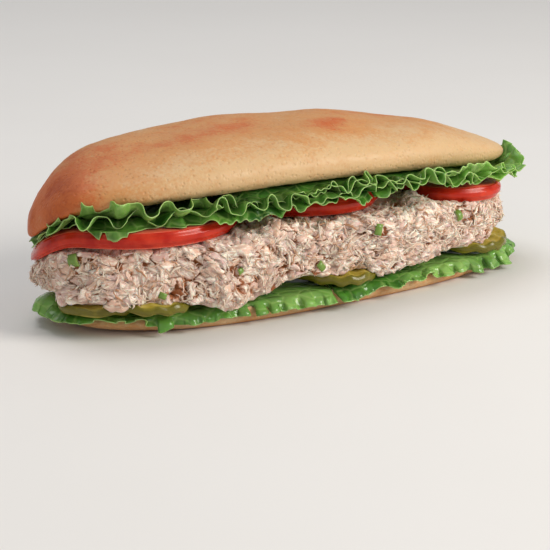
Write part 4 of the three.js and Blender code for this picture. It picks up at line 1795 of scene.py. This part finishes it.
@dataclass(frozen=True)
class Salad:
    """Flaked fish in dressing: a craggy body of flakes, loose shreds on it, and chopped celery."""

    node: str = "fish_salad"
    columns: int = 800
    rows: int = 116
    shreds: int = 3400
    underside: float = 8.3
    over_leaf: float = 7.9
    past_leaf: float = 5.6
    lumps: tuple[Lump, ...] = (
        Lump(-84, -24, 15, 1),
        Lump(-50, -35, 13, 3.2),
        Lump(-14, -34, 11, 0.6),
        Lump(14, -34, 9, 2.4),
        Lump(33, -33, 9, 2),
        Lump(57, -29, 12, 1),
        Lump(-10, 34, 16, 2.4),
        Lump(-70, 26, 14, 1.4),
        Lump(52, 32, 13, 1.8),
    )
    celery: tuple[Celery, ...] = (
        Celery(-93, 26, 2.6, 3.2, 0.3),
        Celery(-72, 14.6, 1.5, 2.0, 1.2),
        Celery(-46.5, 20, 1.3, 1.8, 0.3),
        Celery(-14, 16, 1.6, 3.0, 2.2),
        Celery(7.5, 26, 1.7, 3.8, 1.3, 1.8),
        Celery(45, 24, 2.0, 2.0, 0.2, 4.6),
    )

    def lump(self, x: Array, y: Array) -> Array:
        """Adds up the lumps' bulge at a place."""
        parts = [
            lump.out * np.exp(-((x - lump.x) ** 2 + (y - lump.y) ** 2) / lump.width**2) for lump in self.lumps
        ]
        return sum(parts)

    @staticmethod
    def crag(x: Array, y: Array, z: Array) -> Array:
        """The solid's crags: folded waves in three directions."""
        coarse = (
            np.abs(np.sin(x / 5.1 + z / 7.3))
            + np.abs(np.sin(y / 4.7 - x / 9.1))
            + np.abs(np.sin(z / 3.9 + x / 11.3))
            - 1.8
        )
        return 0.75 * coarse + 0.5 * np.sin(x / 2.3 + y / 3.1) * np.sin(z / 2.1 - x / 5.9)

    def body(self) -> Array:
        """Makes the body's side before its flakes are raised.

        Returns:
            Places, rows by columns by 3, from the lower inner row to the upper one.
        """
        angle = SALAD_PLAN.even_angles(self.columns)[None, :]
        knots = np.array([0, 0.06, 0.16, 0.4, 0.62, 0.73, 0.8, 1])
        step = np.linspace(0, 1, self.rows)
        scale = np.interp(step, knots, [0.93, 0.975, 0.995, 1.005, 1, 0.985, 0.93, 0.6])[:, None]
        share = np.interp(step, knots, [0, 0.08, 0.25, 0.52, 0.78, 0.95, 1, 1])[:, None]
        x, y = SALAD_PLAN.point(angle, scale)
        low = salad_hem(x, y) + 1.2 * layered_noise(np.stack([x, y, 0 * x], axis=-1), 4.5, 143, 3)
        rise = 3 * hump(x, -30, 4.5) + 3 * hump(x, 31, 5.5) + 1.2 * hump(x, 78, 5)
        high = salad_top(x, y) + 0.6 + rise
        drape = ease(-38, -52, x) * ease(0, -8, y)
        z = blend(low - 1.9 * drape, high, share)
        out = self.lump(x, y) * ease(0.9, 1, scale) + ease(0.93, 0.985, scale) * self.crag(x, y, z)
        out = out + (2.0 + ease(-76, -86, x)) * drape * ease(0.6, 0.15, share)
        out_x, out_y = SALAD_PLAN.normal(x, y)
        x = x + out * out_x
        y = y + out * out_y
        z = z + ease(0.94, 0.96, scale) * 0.6 * self.crag(y, x, z)
        return np.stack([x, y, z], axis=-1)

    def seeds(self, grid: Array, normals: Array, draw: np.random.Generator) -> dict[str, Array]:
        """Scatters the middles of the flakes over the side.

        Args:
            grid: the side's places, rows by columns by 3.
            normals: its directions out.
            draw: the source of random draws.

        Returns:
            For each flake its place, long and cross directions, height, tilt and tone.
        """
        across, up = 180, 10
        column, row = np.meshgrid(np.arange(across), np.arange(up), indexing="ij")
        column = (column + draw.uniform(-0.5, 0.5, column.shape)) / across * self.columns
        row = (row + 0.5 + draw.uniform(-0.45, 0.45, row.shape)) / up * self.rows
        at = (row.ravel().astype(int) % self.rows, column.ravel().astype(int) % self.columns)
        place, out = grid[at], normals[at]
        keep = draw.uniform(0, 1, len(place)) < blend(0.5, 1.0, ease(-30, 10, place[:, 0]))
        place, out = place[keep], out[keep]
        sweep = lattice_noise(place, 15, 7) * 1.6 + draw.normal(0, 0.55, len(place)) - 0.5
        level = unit(np.cross(np.array([0, 0, 1.0]), out))
        upright = np.cross(out, level)
        along = unit(level * np.cos(sweep)[:, None] + upright * np.sin(sweep)[:, None])
        return {
            "place": place,
            "along": along,
            "cross": np.cross(out, along),
            "height": draw.uniform(-0.6, 0.7, len(place)),
            "tilt": draw.normal(0, 0.25, len(place)),
            "tone": draw.uniform(0, 1, len(place)),
        }

    def flakes(self, points: Array, seeds: dict[str, Array], stretch: float) -> dict[str, Array]:
        """Finds the flake that each point belongs to.

        Args:
            points: places, n by 3.
            seeds: the flakes.
            stretch: how much longer a flake is than wide.

        Returns:
            For each point its flake, and how much nearer that is than the next one.
        """
        owner = np.zeros(len(points), dtype=int)
        margin = np.zeros(len(points))
        centre, along = seeds["place"], seeds["along"]
        squeeze = 1 - 1 / stretch**2
        batch = 3000
        for first in range(0, len(points), batch):
            part = points[first : first + batch]
            apart = part[:, None, :] - centre[None, :, :]
            square = np.einsum("ijk,ijk->ij", apart, apart)
            long = np.einsum("ijk,jk->ij", apart, along)
            reach = np.sqrt(np.maximum(square - squeeze * long**2, 0))
            nearest = np.argpartition(reach, 2, axis=1)[:, :2]
            near = np.take_along_axis(reach, nearest, axis=1)
            best = np.argmin(near, axis=1)
            rows = np.arange(len(part))
            owner[first : first + batch] = nearest[rows, best]
            margin[first : first + batch] = near[rows, 1 - best] - near[rows, best]
        return {"owner": owner, "margin": margin}

    def clear(self, points: Array) -> Array:
        """Keeps points between the tomato above and the pickles and leaf below.

        Args:
            points: places, n by 3.

        Returns:
            The places, moved in height where they would meet a neighbour.
        """
        x, y, z = points[..., 0], points[..., 1], points[..., 2]
        z = lowered(TOMATOES, x, y, z, SALAD_GAP, 1.01)
        z = lifted(PICKLES, x, y, z, SALAD_GAP)
        z = np.maximum(z, np.where(LOWER_PLAN.scale_at(x, y) < 1.0, self.over_leaf, self.past_leaf))
        return np.stack([x, y, z], axis=-1)

    def make_body(self, draw: np.random.Generator) -> tuple[Array, Array, Array]:
        """Builds the craggy body and dresses it.

        Args:
            draw: the source of random draws.

        Returns:
            The side's places, their directions out, and the long directions of their flakes.
        """
        grid = self.body()
        faces = [grid_faces(self.rows, self.columns)]
        flat = grid.reshape(-1, 3)
        normals = point_normals(flat, faces)
        seeds = self.seeds(grid, normals.reshape(grid.shape), draw)
        ragged = [
            lattice_noise(flat, 2.4, seed) + 0.5 * lattice_noise(flat, 1.1, seed + 1)
            for seed in (151, 153, 157)
        ]
        found = self.flakes(flat + 1.1 * np.stack(ragged, axis=-1), seeds, 2.1)
        owner, margin = found["owner"], found["margin"]
        apart = flat - seeds["place"][owner]
        cross = np.einsum("ij,ij->i", apart, seeds["cross"][owner])
        long = np.einsum("ij,ij->i", apart, seeds["along"][owner])
        patchy = 0.4 + 1.4 * ease(-0.1, 0.6, lattice_noise(flat, 3.5, 139))
        crevice = (1 - ease(0.0, 0.5, margin)) * np.minimum(1, 0.15 + 0.7 * patchy)
        height = seeds["height"][owner] + seeds["tilt"][owner] * cross
        height += -0.06 * cross**2 - 0.85 * crevice + 0.34 * layered_noise(flat, 2.0, 131)
        height += 1.15 * layered_noise(flat, 8, 137, 2)
        row = np.arange(self.rows)
        on_top = np.repeat(ease(0.72, 0.82, row / self.rows), self.columns)
        height += 1.2 * on_top * layered_noise(flat, 3.4, 149)
        fade = np.repeat(ease(0, 5, row) * ease(0, 5, row[::-1]), self.columns)
        raised = self.clear(flat + normals * (height * fade)[:, None])
        # The crevice mark: painted shade in the crevices and low places, patchy, which also stands for brown
        # bits
        hollow = np.clip((crevice * 0.6 - 0.5 * height) * patchy, 0, 1)
        middle = SALAD_PLAN.middle
        lowest = np.array([middle, 0, self.underside])
        highest = np.array([middle, 0, salad_top(middle) - 0.4])
        inner = []
        for end_row in (0, self.rows - 1):
            ring = raised.reshape(grid.shape)[end_row].copy()
            ring[:, 0] = blend(middle, ring[:, 0], 0.5)
            ring[:, 1] *= 0.5
            inner.append(self.clear(ring))
        whole = np.concatenate([inner[0][None], raised.reshape(grid.shape), inner[1][None]])
        points, all_faces = closed_stack(whole, lowest, highest)
        pad = np.zeros(self.columns)

        def padded(values: Array) -> Array:
            """Adds the inner rings and the two middle points."""
            return np.concatenate([pad, values, pad, [0, 0]])

        fibre_place = np.stack(
            [padded(long * 0.22), padded(cross), padded(seeds["tone"][owner] * 40)], axis=-1
        )
        marks = {
            "tone": padded(seeds["tone"][owner]),
            "hollow": padded(hollow),
            "fibre_place": fibre_place,
        }
        piece = make_piece("fish_salad_flakes", points, all_faces, [DressedFish().material()], marks)
        settle(piece, "fish_salad", self.node)
        return raised, normals, seeds["along"][owner]

    def make_shreds(self, side: Array, normals: Array, along: Array, draw: np.random.Generator) -> None:
        """Lays loose shreds on the side, each bent to the flakes under it.

        Args:
            side: the side's places.
            normals: their directions out.
            along: the long directions of their flakes.
            draw: the source of random draws.
        """
        tree = kdtree.KDTree(len(side))
        for number, place in enumerate(side):
            tree.insert(place, number)
        tree.balance()
        rows = draw.integers(7, self.rows - 6, self.shreds)
        columns = draw.integers(0, self.columns, self.shreds)
        picked = rows * self.columns + columns
        steps, sides = 6, 5
        turn = np.linspace(0, TURN, sides, endpoint=False)
        points, faces, tones = [], [], []
        base = 0
        for start in picked:
            out = normals[start]
            lean = draw.normal(0, 0.7)
            line = unit(along[start] * np.cos(lean) + np.cross(out, along[start]) * np.sin(lean))
            across = np.cross(out, line)
            length = 1.2 + 2.6 * draw.uniform(0, 1) + 4.5 * draw.uniform(0, 1) ** 5
            width = draw.uniform(0.12, 0.42)
            bend = draw.normal(0, 0.16) * length
            stand = draw.uniform(0.0, 0.25)
            flick = draw.uniform(0, 1) ** 3 * 1.2
            spine = []
            for step in range(steps):
                share = step / (steps - 1) * 2 - 1
                place = side[start] + line * (share * length / 2) + across * (bend * share**2)
                near, found, _ = tree.find(place)
                hug = np.array(near) + normals[found] * stand
                spine.append(blend(place + out * stand, hug, 0.75) + out * flick * max(0.0, share) ** 2)
            spine = self.clear(np.array(spine))
            ring_width = width * np.array([0.25, 0.8, 1.0, 1.0, 0.75, 0.2])
            for step in range(steps):
                ring = spine[step] + ring_width[step] * (
                    np.cos(turn)[:, None] * across + 0.6 * np.sin(turn)[:, None] * out
                )
                points.append(ring)
            for step in range(steps - 1):
                for corner in range(sides):
                    beside = (corner + 1) % sides
                    low = base + step * sides
                    faces.append((low + corner, low + beside, low + sides + beside, low + sides + corner))
            tones += [draw.uniform(0, 1)] * (steps * sides)
            base += steps * sides
        whole = np.concatenate(points)
        quads = np.array(faces)
        firsts = np.arange(0, base, steps * sides)
        lasts = firsts + (steps - 1) * sides
        start_caps = firsts[:, None] + np.arange(sides)[None, ::-1]
        end_caps = lasts[:, None] + np.arange(sides)[None, :]
        piece = make_piece(
            "fish_salad_shreds",
            whole,
            [quads, start_caps, end_caps],
            [FishShred().material()],
            {"tone": np.array(tones)},
        )
        settle(piece, "fish_salad")

    def make_celery(self, side: Array, normals: Array) -> None:
        """Sets the celery pieces in the side.

        Args:
            side: the side's places.
            normals: their directions out.
        """
        points, faces, ribs = [], [], []
        base = 0
        turns, thicks, longs = 13, 3, 4
        for bit in self.celery:
            shown = side[:, 1] < -5
            away = np.hypot(side[:, 0] - bit.x, side[:, 2] - bit.z) + 1000 * ~shown
            nearest = int(np.argmin(away))
            out = normals[nearest]
            level = unit(np.cross(np.array([0, 0, 1.0]), out))
            upright = np.cross(out, level)
            line = level * np.cos(bit.turn) + upright * np.sin(bit.turn)
            across = np.cross(out, line)
            middle = side[nearest] - out * (bit.radius * 0.15)
            grid = []
            for long_step in range(longs):
                for thick_step in range(thicks):
                    for turn_step in range(turns):
                        angle = (turn_step / (turns - 1) - 0.5) * bit.curl
                        reach = bit.radius * (1 - 0.42 * thick_step / (thicks - 1))
                        shift = (long_step / (longs - 1) - 0.5) * bit.length
                        place = middle + out * (np.cos(angle) * reach) + across * (np.sin(angle) * reach)
                        grid.append(place + line * shift)
                        ribs.append(1 - thick_step / (thicks - 1) * 0.8)
            points.append(np.array(grid))
            block = np.arange(longs * thicks * turns).reshape(longs, thicks, turns) + base
            shells = [
                (block[:, 0, :], False),
                (block[:, -1, :], True),
                (block[:, :, 0], True),
                (block[:, :, -1], False),
                (block[0], True),
                (block[-1], False),
            ]
            for sheet, flipped in shells:
                corners = np.stack([sheet[:-1, :-1], sheet[:-1, 1:], sheet[1:, 1:], sheet[1:, :-1]], axis=-1)
                corners = corners.reshape(-1, 4)
                faces.append(corners[:, ::-1] if flipped else corners)
            base += longs * thicks * turns
        piece = make_piece(
            "fish_salad_celery",
            np.concatenate(points),
            [np.concatenate(faces)],
            [CeleryStalk().material()],
            {"rib": np.array(ribs)},
        )
        settle(piece, "fish_salad")

    def make(self) -> None:
        """Builds the salad and dresses it."""
        draw = np.random.default_rng(11)
        side, normals, along = self.make_body(draw)
        self.make_shreds(side, normals, along, draw)
        self.make_celery(side, normals)


# Studio


class LightKind(Enum):
    """The studio's lights, by their job."""

    KEY = "key"
    FILL = "fill"
    TOP = "top"


@dataclass(frozen=True)
class SoftLight:
    """A square soft light: where it stands, its size in metres, its power and its colour."""

    kind: LightKind
    place: tuple[float, float, float]
    size: float
    power: float
    colour: int

    def make(self) -> None:
        """Adds the light, aimed at the middle of the roll."""
        data = bpy.data.lights.new(self.kind.value, "AREA")
        data.shape = "SQUARE"
        data.size = self.size
        data.energy = self.power
        data.color = linear(self.colour)[:3]
        lamp = bpy.data.objects.new(self.kind.value, data)
        aim = Vector((0, 0, 0.025)) - Vector(self.place)
        lamp.matrix_world = Matrix.Translation(self.place) @ aim.to_track_quat("-Z", "Y").to_matrix().to_4x4()
        bpy.context.scene.collection.objects.link(lamp)


@dataclass(frozen=True)
class Studio:
    """The pale floor, the soft lights and the camera at the photograph's angle."""

    half_floor: float = 6000.0
    ambient: float = 0.42
    sensor: float = 36
    lens: float = 151.5
    camera_place: tuple[float, float, float] = (-0.44343, -0.62187, 0.22041)
    camera_right: tuple[float, float, float] = (0.8192, -0.5736, 0)
    camera_forward: tuple[float, float, float] = (0.5516, 0.7878, -0.2740)
    lights: tuple[SoftLight, ...] = (
        SoftLight(LightKind.KEY, (0.55, -0.78, 0.54), 0.5, 10.0, 0xFFFAF2),
        SoftLight(LightKind.FILL, (-0.95, -0.45, 0.5), 0.7, 1.2, 0xFFF3E6),
        SoftLight(LightKind.TOP, (-0.05, 0.35, 1.0), 0.6, 3.4, 0xFFFFFF),
    )

    def make_floor(self) -> None:
        """Lays the floor, with a finer middle so that it is no single face."""
        lines = np.array([-1, -0.3, -0.1, 0, 0.1, 0.3, 1]) * self.half_floor
        y, x = np.meshgrid(lines, lines, indexing="ij")
        points = np.stack([x, y, np.zeros_like(x)], axis=-1).reshape(-1, 3)
        faces = [grid_faces(len(lines), len(lines), closed=False)]
        make_piece("floor", points, faces, [PaintedFloor().material()])

    def make_camera(self) -> None:
        """Sets the camera where the photograph was taken from."""
        data = bpy.data.cameras.new("camera")
        data.sensor_width = self.sensor
        data.lens = self.lens
        camera = bpy.data.objects.new("camera", data)
        right = Vector(self.camera_right)
        forward = Vector(self.camera_forward).normalized()
        up = right.cross(forward)
        turn = Matrix((right, up, -forward)).transposed().to_4x4()
        camera.matrix_world = Matrix.Translation(self.camera_place) @ turn
        bpy.context.scene.collection.objects.link(camera)
        bpy.context.scene.camera = camera

    def make_world(self) -> None:
        """Lights the room evenly."""
        world = bpy.data.worlds.new("studio")
        world.use_nodes = True
        back = world.node_tree.nodes["Background"]
        back.inputs["Color"].default_value = linear(0xF4F4F6)
        back.inputs["Strength"].default_value = self.ambient
        bpy.context.scene.world = world

    def make(self) -> None:
        """Builds the studio."""
        self.make_floor()
        self.make_camera()
        self.make_world()
        for light in self.lights:
            light.make()
        bpy.context.scene.view_settings.view_transform = "Standard"


UPPER_LEAVES = (
    UpperLeaf(
        "lettuce_upper_left",
        start=-95.5,
        stop=6,
        level=0.36,
        seed=5,
        blades=(
            Blade(
                lean=-34, sway=16, length=5.0, ruffle=1.0, rise=0.3, back=2.6, curl=30, pace=13, points=1.1,
                folds=(
                    Fold(-84, 5, lean=-16, longer=3.8, out=1.2),
                    Fold(-97, 6, lean=20, longer=-1.5, out=-1.5),
                    Fold(-46, 5, lean=-6, longer=1.5),
                ),
            ),
            Blade(
                lean=22, sway=30, length=4.6, ruffle=1.7, rise=1.0, back=3.0, curl=40, pace=9, points=1.0,
                folds=(
                    Fold(-82, 6, lean=25, longer=3.4, rise=0.5, out=1.5),
                    Fold(-94, 6, lean=30, longer=2.8, rise=0.4, out=1.6),
                    Fold(-36, 16, lean=-28, longer=-1.5, out=-2.0),
                ),
            ),
            Blade(
                lean=-10, sway=26, length=4.8, ruffle=1.6, rise=0.9, back=2.4, curl=40, pace=11, points=1.2,
                folds=(
                    Fold(-92, 7, lean=12, longer=2.4, rise=0.6, out=1.4),
                ),
            ),
        ),
    ),
    UpperLeaf(
        "lettuce_upper_right",
        start=7.5,
        stop=89,
        level=0.34,
        seed=17,
        blades=(
            Blade(
                lean=-20, sway=16, length=3.2, ruffle=1.0, rise=0.7, back=2.8, curl=30, pace=14, points=1.0,
                folds=(
                    Fold(32, 13, lean=8, longer=-0.6, rise=0.9),
                    Fold(62, 4, lean=-20, longer=1.6),
                ),
            ),
            Blade(
                lean=26, sway=28, length=4.6, ruffle=1.9, rise=0.8, back=3.0, curl=40, pace=9, points=1.0,
                folds=(
                    Fold(28, 18, lean=12, longer=0.6, rise=0.9, out=1.0),
                    Fold(52, 8, lean=10, longer=1.2, rise=0.3, out=1.2),
                ),
            ),
            Blade(
                lean=6, sway=28, length=4.0, ruffle=1.8, rise=0.8, back=2.2, curl=40, pace=13, points=1.1,
                folds=(
                    Fold(34, 14, lean=8, longer=-0.6, rise=0.9),
                ),
            ),
        ),
        young=0.2,
    ),
    UpperLeaf(
        "lettuce_upper_middle",
        start=-46,
        stop=54,
        level=0.84,
        seed=29,
        blades=(
            Blade(
                lean=-8, sway=24, length=4.4, ruffle=1.5, rise=-0.4, back=3.0, curl=30, pace=12, points=1.3,
                folds=(
                    Fold(-34, 16, rise=-0.8, out=-3.5),
                ),
            ),
        ),
    ),
)
LOWER_LEAVES = (
    LowerLeaf("lettuce_lower_left", -95, -8, 211),
    LowerLeaf("lettuce_lower_right", -6.5, 86, 223),
)


def corners(box: tuple[Vector, Vector]) -> list[list[float]]:
    """Turns a box's corners into plain lists of numbers."""
    return [[float(value) for value in corner] for corner in box]


def main() -> None:
    """Builds the sandwich from the heel up, then the studio."""
    logging.basicConfig(level=logging.INFO, format="%(message)s")
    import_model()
    Heel().make()
    for lower_leaf in LOWER_LEAVES:
        lower_leaf.make()
    for pickle in PICKLES:
        pickle.make()
    Salad().make()
    for tomato in TOMATOES:
        tomato.make()
    for upper_leaf in UPPER_LEAVES:
        upper_leaf.make()
    Crown().make()
    Studio().make()


if __name__ == "__main__":
    main()
